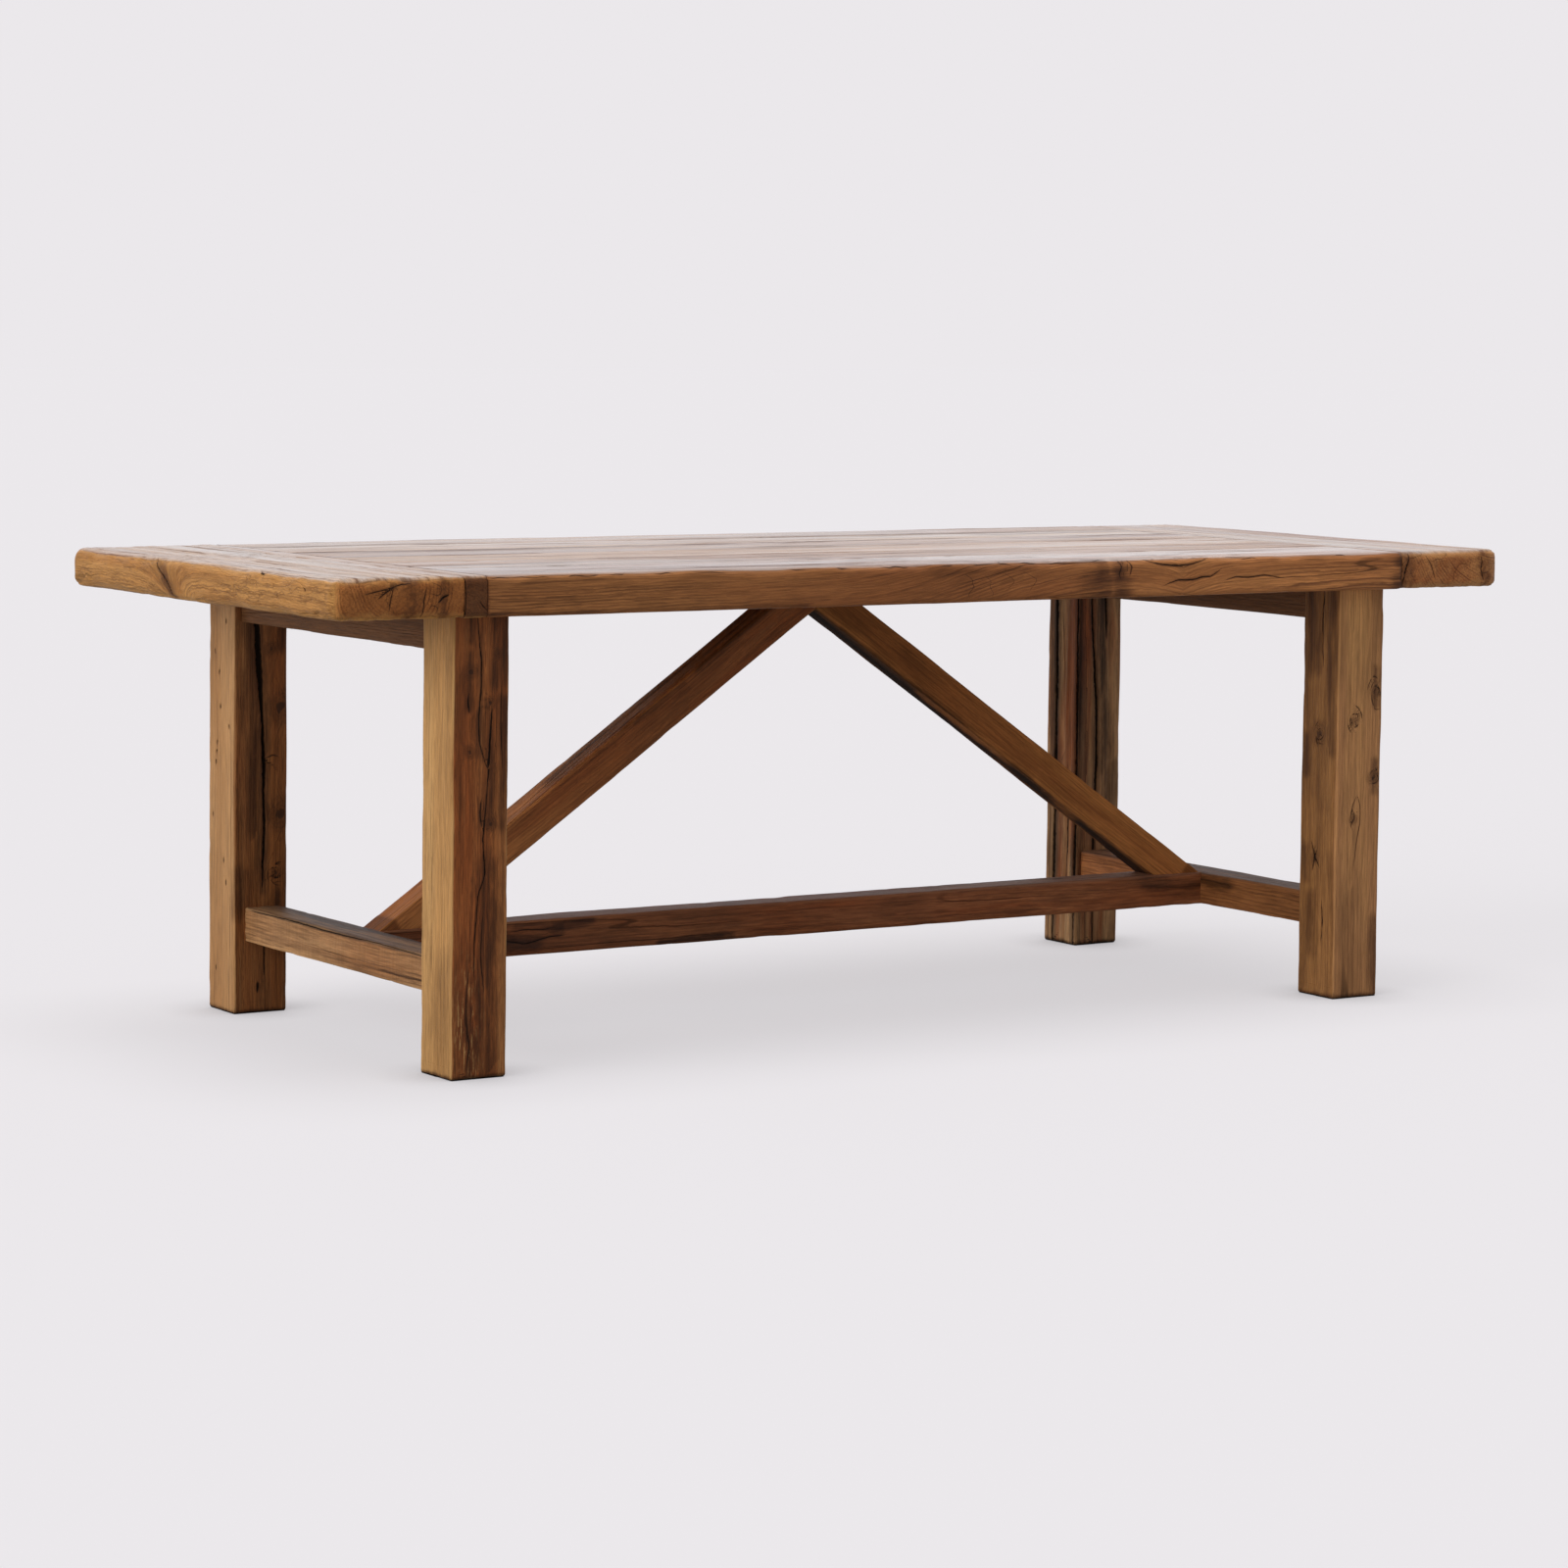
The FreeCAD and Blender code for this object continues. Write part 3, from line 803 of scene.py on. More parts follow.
    def blacken(self):
        """Stains listed in the script, knots, drying cracks and open cracks."""
        ask = self.ask
        soot = self.blend(0.6, ask["Dark"], LAMP_BLACK)
        smear = self.off_half(self.figure(self.bent, 10.0, 60.0, 15.8, 5.0, 0.7))
        patch = self.times(self.fall(self.add(ask["Stain"], self.times(smear, 3.6)), -0.1, 1.5),
                           self.step(self.streak, 0.36, 0.6, 0.5, 1.0))
        self.lay(self.times(patch, 0.9), self.blend(0.3, ask["Dark"], soot))
        self.lay(self.step(self.knot_far, 0.8, 2.2, 0.42, 0.0), ask["Dark"])
        self.lay(self.times(self.knot_rings, 0.25), soot)
        self.lay(self.times(self.core, 0.75), soot)

        thread = self.math("ABSOLUTE", self.off_half(self.figure(self.bent, 0.9, 24.0, 13.5, 1.0)))
        where = self.step(self.figure(self.grain, 2.2, 12.0, 14.6), 0.5, 0.62)
        check = self.times(self.fall(thread, 0.002, 0.008), where, ask["Checks"])
        ragged = self.times(self.off_half(self.rag), ask["Crack Width"], 0.8)
        gap = self.math("ABSOLUTE", self.add(ask["Crack Side"], ragged))
        gap = self.math("DIVIDE", gap, ask["Crack Width"])
        self.lay(self.step(gap, 0.8, 4.5, 0.55, 0.0), ask["Dark"])
        self.open = self.math("MAXIMUM", check, self.fall(gap, 0.55, 1.1))
        self.lay(self.times(self.open, 0.93), CRACK_BLACK)

    def wiped(self, place, along, shift):
        """Clouds drawn out along the grain, as fine across it as the wax was wiped."""
        fine = self.ask["Wax Lines"]
        stretched = self.vector("MULTIPLY", place, self.xyz(along, fine, fine))
        return self.noise(stretched, self.add(self.ask["Seed"], shift), 3.0, 0.6)

    def rub_wax(self):
        """Wax rubbed unevenly into the upper face, none in the dark lines."""
        ask = self.ask
        broad_wipe = self.wiped(self.vector("SCALE", self.grain, scale=0.62), 2.4, 16.9)
        rub = self.step(broad_wipe, 0.38, 0.6, 0.5, 1.0)
        threads = self.step(self.figure(self.bent, 2.8, 120.0, 23.4, 3.0, 0.6), 0.43, 0.57, 0.15, 1.0)
        bare = self.times(self.step(self.wiped(self.bent, 1.7, 17.7), 0.46, 0.64), threads)
        self.wax = self.times(ask["Upper"], ask["Sheen"], rub, self.less(1.0, self.times(bare, 0.95)),
                              self.less(1.0, self.open))
        self.lay_dark(bare, ask["Upper"], 0.8)

    def finish(self):
        rough = self.add(self.ask["Roughness"], self.times(self.off_half(self.fibre), 0.25),
                         self.times(self.open, 0.3), self.times(self.core, -0.08),
                         self.times(self.off_half(self.streak), 0.25), self.times(self.pore, 0.15))
        height = self.add(self.times(self.fibre, 0.6), self.times(self.streak, 0.8),
                          self.times(self.band, 0.35), self.times(self.pore, -0.6),
                          self.times(self.open, -1.8), self.times(self.core, -0.3),
                          self.times(self.saw, 0.5), self.times(self.slit, -1.5))
        self.put(self.give["Color"], self.colour)
        self.put(self.give["Roughness"], self.math("MINIMUM", self.math("MAXIMUM", rough, 0.15), 0.95))
        self.put(self.give["Height"], height)
        self.put(self.give["Wax"], self.wax)


OLD_WOOD = WoodTree().tree
SURFACE_MARKS = ("knot", "crack_side", "crack_width", "edge", "rim", "stain", "upper", "end_face")
BUMP_DEPTH = 0.0009


def wood(name, coat=False, **values):
    """A material for one timber, with its own pith, colours and wear, and a coat of wax on the top."""
    made = bpy.data.materials.new(name)
    made.use_nodes = True
    made.node_tree.nodes.clear()
    w = Wiring(made.node_tree)
    group = w.node("ShaderNodeGroup", node_tree=OLD_WOOD)
    w.put(group.inputs["Grain"], w.node("ShaderNodeAttribute", attribute_name="grain").outputs["Vector"])
    for mark in SURFACE_MARKS:
        read = w.node("ShaderNodeAttribute", attribute_name=mark)
        w.put(group.inputs[socket_name(mark)], read.outputs["Fac"])
    for word, value in values.items():
        group.inputs[socket_name(word)].default_value = value
    bumps = w.node("ShaderNodeBump")
    bumps.inputs["Distance"].default_value = BUMP_DEPTH
    bumps.inputs["Strength"].default_value = 1.0
    w.put(bumps.inputs["Height"], group.outputs["Height"])
    shader = w.node("ShaderNodeBsdfPrincipled")
    w.put(shader.inputs["Base Color"], group.outputs["Color"])
    w.put(shader.inputs["Roughness"], group.outputs["Roughness"])
    w.put(shader.inputs["Normal"], bumps.outputs["Normal"])
    shader.inputs["Specular IOR Level"].default_value = 0.15
    if coat:
        shader.inputs["Coat Roughness"].default_value = 0.2
        shader.inputs["Coat IOR"].default_value = 1.45
        w.put(shader.inputs["Coat Weight"], group.outputs["Wax"])
    w.put(w.node("ShaderNodeOutputMaterial").inputs["Surface"], shader.outputs[0])
    return made


# The way the timbers lie, and how fine their meshes are

ALONG_X = (0.0, 0.0, 0.0)
ALONG_Y = (0.0, 0.0, math.pi / 2)
UPRIGHT = tuple(Matrix(((0, 1, 0), (0, 0, 1), (1, 0, 0))).to_euler())


def box_values(length, width, thick, pitch=(5.0, 2.1, 2.1)):
    """Sizes in mm, and the steps of the mesh along, across and through the timber for a pitch in mm."""
    sizes = zip((length, width, thick), pitch)
    along, across, through = (max(2, int(round(size / gap)) + 1) for size, gap in sizes)
    return dict(length=length * MM, width=width * MM, thickness=thick * MM,
                steps_along=along, steps_across=across, steps_through=through)


# The top

TOP_FRONT, TOP_LEFT = Face("front", FRONT), Face("left", LEFT_END)
TOP_PITCH = (6.0, 2.2, 2.2)
INNER_PLANK_PITCH = (6.0, 2.2, 8.0)
END_BOARD_PITCH = (4.5, 2.2, 2.2)
STRIP_PITCH = (4.5, 2.0, 2.2)


def top_board(node, slot, material, x_span, y_span, turn=ALONG_X, pitch=TOP_PITCH, **values):
    """One board of the top, which takes its rounded corners and arrises from the whole top."""
    length, width = x_span[1] - x_span[0], y_span[1] - y_span[0]
    if turn == ALONG_Y:
        length, width = width, length
    middle = (UNDER + TOP / 2) * MM
    shape = dict(turn=turn, place=(sum(x_span) / 2 * MM, sum(y_span) / 2 * MM, middle),
                 in_top=1.0, top_length=(RIGHT_END - LEFT_END) * MM, top_width=(BACK - FRONT) * MM,
                 top_thickness=TOP * MM, top_middle=middle, edge_radius=0.0016, start_radius=0.0012,
                 end_radius=0.0012, wave=0.0008, relief=0.00045, chip=0.0016, edge_wear=0.0006)
    return make_timber(node, slot, material, **{**shape, **box_values(length, width, TOP, pitch), **values})


front_plank_cracks = TOP_FRONT.cracks(
    (2.2, 2.0, ((350, 758), (380, 750), (415, 747), (446, 749), (478, 758))),
    (2.2, 2.0, ((392, 716), (420, 724), (448, 723), (470, 728), (486, 727), (505, 739))),
    (1.6, 2.0, ((515, 721), (540, 727), (560, 724), (600, 728), (640, 721))),
    (0.9, 0.6, ((-5, 742), (10, 734), (8, 728), (14, 722), (2, 712), (4, 704)), 0.6),
    (0.8, 0.6, ((36, 738), (46, 730), (42, 722), (50, 712), (48, 704)), 0.5),
    (0.8, 0.5, ((72, 742), (92, 730), (78, 716)), 0.45),
    (0.8, 0.5, ((108, 744), (136, 731), (120, 712)), 0.45),
    (2.0, 1.5, ((298, 759), (303, 748), (298, 736), (301, 728))),
    (1.6, 1.5, ((316, 759), (324, 746), (319, 734))),
) + TOP_FRONT.chips(
    756.6, 7, (-842, 18), (-788, 40), (-700, 26), (-640, 12), (-560, 14), (-476, 30), (-318, 14), (-236, 10),
    (-134, 24), (-40, 12), (33, 20), (74, 10), (120, 16), (186, 26), (566, 16), (760, 12))
front_plank_stains_and_shade = TOP_FRONT.stains(
    (86, ((258, 764), (262, 740), (264, 706))),
    (40, ((300, 764), (298, 738), (304, 700))),
    (40, ((898, 762), (890, 735), (884, 700))),
    # a thin dark line along the lower arris: painted shade
    (10, ((-866, 700), (-600, 697), (-300, 698))),
)
# the front plank's stronger bleach is painted sheen, a whiter reflection along the front of the top
front_plank_look = dict(
    pale=tone(178, 119, 70), body=tone(148, 92, 52), dark=tone(80, 46, 28), start_tone=0.9, end_tone=1.38,
    pith=(0, 0.03, -0.12), ring_width=0.0036, rings=0.7, bleach=0.7, sheen=1.0, streaks=0.45, wander=0.026,
    swell=0.055, swell_at=0.03, swell_reach=0.22, dip=0.024, dip_at=0.415, dip_reach=0.06)
planks_alike = dict(
    ring_width=0.0055, roughness=0.4, rings=0.55, seam_dirt=0.7, pores=0.6, streaks=0.5, stains=0.2,
    grey=ASH_AND_SHEEN_GREY, bleach=0.55, sheen=0.95, worn_edges=0.25)
plank_looks = (
    front_plank_look,
    dict(pale=GOLD, body=TAWNY, dark=UMBER, pith=(0, -0.02, -0.14), bleach=0.5),
    dict(pale=HONEY, body=GOLD, dark=CHESTNUT, pith=(0, 0.03, -0.10)),
    dict(pale=GOLD, body=RUSSET, dark=UMBER, pith=(0, 0.01, -0.16)),
    dict(pale=HONEY, body=TAWNY, dark=UMBER, pith=(0, -0.04, -0.11)),
    dict(pale=GOLD, body=TAWNY, dark=UMBER, pith=(0, 0.02, -0.12)),
)
for order, (node, look) in enumerate(zip(PLANKS, plank_looks)):
    first, last = order == 0, order == len(PLANKS) - 1
    plank_wood = wood(node + "_wood", coat=True, seed=11.0 + 7.3 * order, **{**planks_alike, **look})
    top_board(node, "top_planks", plank_wood, (STRIP_SEAM, RIGHT_SEAM), PLANK_SEAMS[order:order + 2],
              pitch=TOP_PITCH if first or last else INNER_PLANK_PITCH,
              cracks=front_plank_cracks if first else (), stains=front_plank_stains_and_shade if first else (),
              seed=3.1 + 5.7 * order, end_relief=0.3,
              front_relief=1.0 if first else 0.4, back_relief=1.0 if last else 0.4)

# the boards across the ends share their wax, their dirt, and a grey that is partly painted sheen
crosswise = dict(wax_lines=110.0, bleach=0.65, sheen=1.0, seam_dirt=0.5, grey=ASH_AND_SHEEN_GREY, roughness=0.45)

left_board_cracks = TOP_FRONT.cracks(
    (2.0, 1.5, ((-1021, 747), (-1034, 739), (-1047, 730))),
    (1.4, 1.2, ((-1021, 747), (-1045, 741), (-1067, 737))),
    (1.8, 1.5, ((-1021, 747), (-1008, 750), (-994, 751))),
    (1.4, 1.2, ((-1021, 747), (-1026, 730), (-1029, 712))),
    (3.6, 3.0, ((-947, 722), (-940, 729), (-930, 733))),
    (1.6, 1.0, ((-975, 700), (-972, 718), (-968, 742))),
) + TOP_LEFT.cracks(
    (2.2, 2.0, ((150, 759), (132, 744), (106, 729), (88, 712), (74, 696))),
    (14.0, 5.0, ((-240, 759), (-221, 753), (-200, 759)), 0.0),
    (12.0, 4.0, ((-440, 700), (-411, 706), (-385, 700)), 0.0),
    (1.6, 1.0, ((-205, 760), (-222, 754), (-238, 758))),
    (2.6, 1.5, ((-281, 728), (-285, 724))),
    (2.6, 1.5, ((-368, 742), (-374, 738))),
)
left_board_stains = TOP_FRONT.stains(
    (34, ((-994, 764), (-992, 730), (-992, 692))),
    (22, ((-940, 764), (-938, 692))),
) + TOP_LEFT.stains((24, ((118, 745), (96, 718), (80, 694))))
left_board_wood = wood(
    "end_board_left_wood", coat=True, seed=71.0, pale=tone(202, 149, 86), body=tone(170, 116, 61),
    dark=tone(98, 58, 31), end_tint=(0.68, 0.5, 0.44, 1.0), pith=(0.0, 0.010, 0.0185), ring_width=0.006,
    rings=0.45, pores=0.7, stains=0.15, streaks=0.25, nicks=0.42, figure=3.0, wander=0.02, ripple=0.007,
    layers=260.0, dip=0.075, dip_at=0.1, dip_reach=0.035, dip_lean=1.1, worn_reach=0.014, **crosswise)
top_board("end_board_left", "end_boards", left_board_wood, (LEFT_END, LEFT_SEAM), (FRONT, BACK), ALONG_Y,
          END_BOARD_PITCH, cracks=left_board_cracks, stains=left_board_stains,
          knots=TOP_LEFT.knots((110, 729, 7)) + TOP_FRONT.knots((-1021, 747, 4)), seed=4.4, wave=0.0014,
          relief=0.0008, chip=0.0035, end_relief=1.0, front_relief=0.4, end_arris=0.008)

strip_wood = wood(
    "end_strip_left_wood", coat=True, seed=83.0, pale=HONEY, body=GOLD, dark=CHESTNUT,
    end_tint=(0.25, 0.18, 0.18, 1.0), pith=(0.0, 0.02, -0.03), ring_width=0.004, rings=0.55, pores=0.8,
    stains=0.4, worn_edges=0.1, **crosswise)
strip_cracks = TOP_FRONT.cracks(
    (3.0, 2.0, ((-878, 722), (-872, 714), (-866, 709))),
    (2.0, 1.5, ((-903, 757), (-901, 730), (-903, 700))),
)
top_board("end_strip_left", "end_boards", strip_wood, (LEFT_SEAM, STRIP_SEAM), (FRONT, BACK), ALONG_Y,
          STRIP_PITCH, cracks=strip_cracks, seed=6.1, end_relief=1.0, front_relief=0.4, back_relief=0.4)

right_board_cracks = TOP_FRONT.cracks(
    (2.8, 3.0, ((910, 759), (905, 742), (902, 734), (897, 715), (893, 698))),
    (2.0, 2.0, ((1066, 750), (1070, 738), (1067, 727), (1073, 708))),
    (1.2, 1.0, ((944, 754), (958, 734), (966, 712))),
)
right_board_stains = TOP_FRONT.stains(
    (44, ((908, 762), (900, 735), (892, 700))),
    (28, ((1072, 760), (1074, 732), (1080, 700))),
)
right_board_wood = wood(
    "end_board_right_wood", coat=True, seed=97.0, pale=HONEY, body=TAWNY, dark=CHESTNUT,
    end_tint=(0.96, 0.8, 0.78, 1.0), pith=(0.0, -0.09, 0.09), ring_width=0.005, rings=0.8, pores=0.8,
    stains=0.45, worn_reach=0.015, **crosswise)
top_board("end_board_right", "end_boards", right_board_wood, (RIGHT_SEAM, RIGHT_END), (FRONT, BACK), ALONG_Y,
          END_BOARD_PITCH, cracks=right_board_cracks, stains=right_board_stains,
          knots=TOP_FRONT.knots((1084, 714, 5)), seed=8.8, wave=0.0012, relief=0.0007, chip=0.003,
          end_relief=1.0, back_relief=0.4, top_corner=0.04)


# The posts

POST_PITCH = (4.0, 1.9, 1.9)


def post_faces(node):
    """The faces of a post that look to the front and to the left."""
    west, south, _ = box_mm(node)[0]
    return Face("front", south), Face("left", west)


def foot_painted_shade(front, left):
    """Painted shade along the two lower edges of a post that face the front and the left."""
    west, south = left.level, front.level
    on_front = front.stains((16, ((west, 0), (west + LEG, 0))))
    return on_front + left.stains((14, ((south, 0), (south + LEG, 0))))


def foot_shadow_line(front, left):
    """A painted black shadow line round the foot of a post, where it meets the floor."""
    width, past, up = 4.4, 4.0, 1.0
    on_front, on_left = (
        (width, 0.0, ((start - past, up), (start + LEG + past, up))) for start in (left.level, front.level))
    return front.cracks(on_front) + left.cracks(on_left)


def post(node, material, cracks, knots, stains, **values):
    front, left = post_faces(node)
    length = UNDER + TUCK
    place = ((left.level + LEG / 2) * MM, (front.level + LEG / 2) * MM, length / 2 * MM)
    shape = dict(turn=UPRIGHT, place=place, edge_radius=0.004, start_radius=0.0045, wave=0.0005,
                 relief=0.0005, chip=0.001, edge_wear=0.0005)
    # the foot gets a painted shadow line and painted shade along its lower edges
    return make_timber(node, "posts", material, cracks + foot_shadow_line(front, left), knots,
                       stains + foot_painted_shade(front, left),
                       **{**shape, **box_values(length, LEG, LEG, POST_PITCH), **values})


# the pith lies far outside the post, and the dark heart round it ends at the post's left front edge
FAR_PITH, FAR_HEART = (0.0, 0.3, -0.25), 0.4022

front, left = post_faces("leg_front_left")
post(
    "leg_front_left",
    wood("leg_front_left_wood", seed=21.0, pale=tone(204, 158, 102), body=tone(188, 140, 86),
         heartwood=tone(166, 98, 52), dark=UMBER, pith=FAR_PITH, heart=FAR_HEART, heart_edge=0.994,
         heart_wave=0.002, ring_width=0.006, stains=0.35, rings=0.3, streaks=0.5, pores=0.8, soot=0.5,
         rust=0.6, torn=1.0, torn_at=-0.275, torn_reach=0.085, torn_side=-0.02, worn_edges=0.8,
         worn_reach=0.004),
    front.cracks(
        (2.6, 3.0, ((-855, 697), (-851, 660), (-847, 627), (-848, 580), (-852, 540), (-850, 505), (-843, 485),
                    (-837, 468))),
        (4.6, 3.0, ((-829, 558), (-831, 520), (-834, 474), (-836, 440))),
        (2.2, 2.5, ((-834, 474), (-837, 425), (-843, 362), (-839, 309), (-851, 277), (-857, 204),
                    (-858, 151))),
        (1.8, 1.6, ((-866, 167), (-871, 93), (-864, 49), (-870, 12))),
        (1.4, 1.2, ((-812, 600), (-814, 540), (-811, 470))),
        (1.6, 1.4, ((-842, 250), (-846, 190), (-840, 130))),
        (3.4, 2.0, ((-869, 580), (-870, 566), (-868, 552))),
        (3.0, 2.0, ((-846, 420), (-848, 400), (-845, 380)))),
    front.knots((-866, 613, 9), (-866, 494, 7), (-830, 384, 7), (-832, 566, 7), (-819, 640, 6)),
    front.stains(
        (40, ((-850, 545), (-836, 470), (-838, 390))),
        (26, ((-810, 570), (-808, 480), (-811, 380))),
        (52, ((-836, 320), (-834, 220), (-836, 120), (-840, 10))),
        (22, ((-866, 640), (-868, 560))),
        (30, ((-816, 690), (-812, 640), (-820, 600))),
        (24, ((-866, 700), (-864, 660)))),
    seed=2.2)

front, left = post_faces("leg_back_left")
WORM_HOLES = ((352, 640), (392, 588), (376, 556), (340, 470), (398, 322), (360, 250), (350, 214), (386, 70),
              (372, 500), (384, 440), (386, 424), (388, 408))
post(
    "leg_back_left",
    wood("leg_back_left_wood", seed=33.0, pale=tone(196, 150, 102), body=tone(174, 126, 80),
         heartwood=tone(144, 90, 48), dark=UMBER, pith=FAR_PITH, heart=FAR_HEART, heart_edge=0.994,
         heart_wave=0.012, ring_width=0.006, stains=0.3, rings=0.3, streaks=0.4, soot=0.35, rust=0.25,
         worn_edges=0.3, worn_reach=0.003),
    front.cracks(
        (7.0, 9.0, ((-856, 720), (-853, 631), (-851, 596), (-848, 545), (-846, 487), (-844, 441), (-842, 401),
                    (-843, 354), (-841, 308), (-843, 263), (-845, 205))),
        (12.0, 9.0, ((-861, 710), (-857, 640), (-853, 590), (-849, 530), (-846, 470))),
        (2.4, 3.0, ((-840, 160), (-842, 120), (-841, 60))),
        (4.0, 3.0, ((-853, 52), (-852, 43), (-853, 34))),
        (1.4, 1.0, ((-838, 418), (-826, 422), (-818, 419))))
    + front.wrinkles(-820, 229, 30, 42, 5)
    + left.cracks(*((2.2, 2.0, ((y, z + 5), (y + 1.5, z), (y, z - 5))) for y, z in WORM_HOLES)),
    front.knots((-830, 596, 8), (-812, 500, 20), (-813, 324, 18), (-820, 229, 6)),
    front.stains(
        (44, ((-872, 700), (-866, 600), (-862, 480), (-866, 300))),
        (18, ((-848, 480), (-846, 380), (-846, 200))),
        (26, ((-808, 680), (-812, 600))),
        (34, ((-880, 230), (-884, 170))),
        (40, ((-815, 190), (-818, 178)))),
    seed=5.9)

front, left = post_faces("leg_front_right")
post(
    "leg_front_right",
    # its dark heart covers the left face: painted shade where that face stands in the table's shade
    wood("leg_front_right_wood", seed=45.0, pale=tone(206, 152, 96), body=tone(176, 124, 82),
         heartwood=tone(162, 113, 66), dark=tone(92, 58, 36), pith=(0, -0.25, 0.3), heart=FAR_HEART,
         heart_edge=0.994, heart_wave=0.002, ring_width=0.006, stains=0.4, rings=0.35, streaks=0.4, soot=0.55,
         worn_edges=0.35, worn_reach=0.004),
    left.cracks(
        (2.2, 3.0, ((-374, 697), (-370, 640), (-373, 560))),
        (2.4, 2.0, ((-352, 262), (-360, 238), (-373, 222))),
        (2.0, 2.0, ((-366, 250), (-360, 236), (-355, 214))),
        (2.2, 2.5, ((-380, 165), (-384, 130), (-381, 95))))
    + front.cracks(
        (1.3, 0.8, ((846, 346), (852, 326), (853, 300), (847, 274), (843, 250), (841, 226))),
        (1.1, 0.6, ((844, 344), (836, 330), (832, 312), (830, 300))),
        (1.4, 0.8, ((836, 320), (841, 312), (838, 302), (831, 297), (834, 290))))
    + front.wrinkles(838, 472, 32, 46, 1) + front.wrinkles(880, 520, 24, 50, 2)
    + front.wrinkles(879, 378, 24, 28, 3) + left.wrinkles(-367, 449, 26, 40, 6),
    front.knots((836, 472, 6), (879, 520, 7), (880, 374, 9), (838, 305, 6))
    + left.knots((-367, 449, 14), (-360, 236, 7)),
    left.stains(
        (40, ((-340, 697), (-344, 640), (-352, 560))),
        (26, ((-396, 690), (-392, 560), (-398, 420))),
        (22, ((-330, 440), (-334, 380))),
        (34, ((-346, 170), (-352, 80))),
        (30, ((-334, 250), (-340, 200))))
    + front.stains(
        (30, ((888, 130), (890, 60), (892, 0))),
        (20, ((882, 560), (882, 500))),
        (20, ((884, 400), (882, 350)))),
    seed=7.7)

front, left = post_faces("leg_back_right")
post(
    "leg_back_right",
    wood("leg_back_right_wood", seed=57.0, pale=tone(204, 158, 112), body=tone(138, 90, 56),
         dark=tone(44, 28, 19), pith=FAR_PITH, ring_width=0.014, stains=0.3, streaks=0.45, rings=0.75,
         figure=0.7, soot=0.4, rust=0.85, worn_edges=0.2),
    left.cracks(
        (10.0, 6.0, ((391, 720), (388, 560), (387, 300), (390, -20))),
        (8.0, 5.0, ((326, 700), (325, 438), (327, -20))),
        (2.4, 3.0, ((352, 330), (350, 210), (353, 60))))
    + front.cracks(
        (6.0, 6.0, ((826, 720), (828, 610), (835, 520), (841, 440), (843, 330), (838, 160), (840, -20))),
        (5.0, 5.0, ((861, 720), (858, 650), (862, 560)))),
    (),
    front.stains((34, ((846, 720), (850, 560), (862, 420), (872, 260))))
    + left.stains((18, ((392, 700), (390, 300))))
    + front.stains((12, ((803, 700), (803, 300))), (26, ((884, 330), (886, 240)))),
    seed=9.3, groove=0.003, wave=0.0014)


# Aprons and stretchers

LONG_PITCH = (6.0, 2.1, 2.1)


def cross_rail(node, material, cracks=(), stains=(), **values):
    """A rail from post to post across the table, with its place and width from its node."""
    (west, _, low), (east, _, _) = box_mm(node)
    shape = dict(turn=ALONG_Y, place=((west + east) / 2 * MM, 0.0, (low + RAIL_HIGH / 2) * MM),
                 edge_radius=0.0035, wave=0.0007, relief=0.0006, chip=0.0014, edge_wear=0.0008)
    size = box_values(2 * (LEG_INSIDE + TUCK), east - west, RAIL_HIGH)
    return make_timber(node, "rails", material, cracks, (), stains, **{**shape, **size, **values})


apron_look = dict(pale=tone(128, 88, 56), body=tone(104, 68, 42), dark=UMBER, stains=0.3, rings=0.3,
                  streaks=0.3)
cross_rail("apron_left", wood("apron_left_wood", seed=61.0, pith=(0, 0.02, -0.07), **apron_look), seed=1.2)
cross_rail("apron_right", wood("apron_right_wood", seed=62.7, pith=(0, -0.03, 0.07), **apron_look), seed=1.9)

rail_left = Face("left", box_mm("end_stretcher_left")[0][0])
cross_rail(
    "end_stretcher_left",
    wood("end_stretcher_left_wood", seed=64.2, pith=(0, 0.04, -0.05), pale=tone(210, 162, 112),
         body=tone(156, 106, 66), dark=tone(58, 36, 24), grey=tone(66, 61, 60), bleach=0.95, ring_width=0.008,
         rings=0.9, stains=0.3, streaks=0.7, soot=0.35, saw_marks=0.3),
    rail_left.cracks((2.6, 2.0, ((300, 172), (150, 173), (10, 171), (-150, 174), (-300, 172)))),
    seed=2.6, relief=0.0012, upper_face=1.0)

rail_left = Face("left", RAIL_INSIDE)
cross_rail(
    "end_stretcher_right",
    wood("end_stretcher_right_wood", seed=66.0, pith=(0, -0.03, -0.07), pale=tone(172, 112, 66),
         body=tone(130, 80, 47), dark=SOIL, grey=tone(100, 84, 72), bleach=0.6, rings=0.4, stains=0.4,
         soot=0.3, streaks=0.5, start_tone=0.75, end_tone=2.1, tone_reach=0.3),
    stains=rail_left.stains((34, ((-20, 160), (-60, 158), (-110, 156)))),
    seed=3.5, upper_face=1.0)

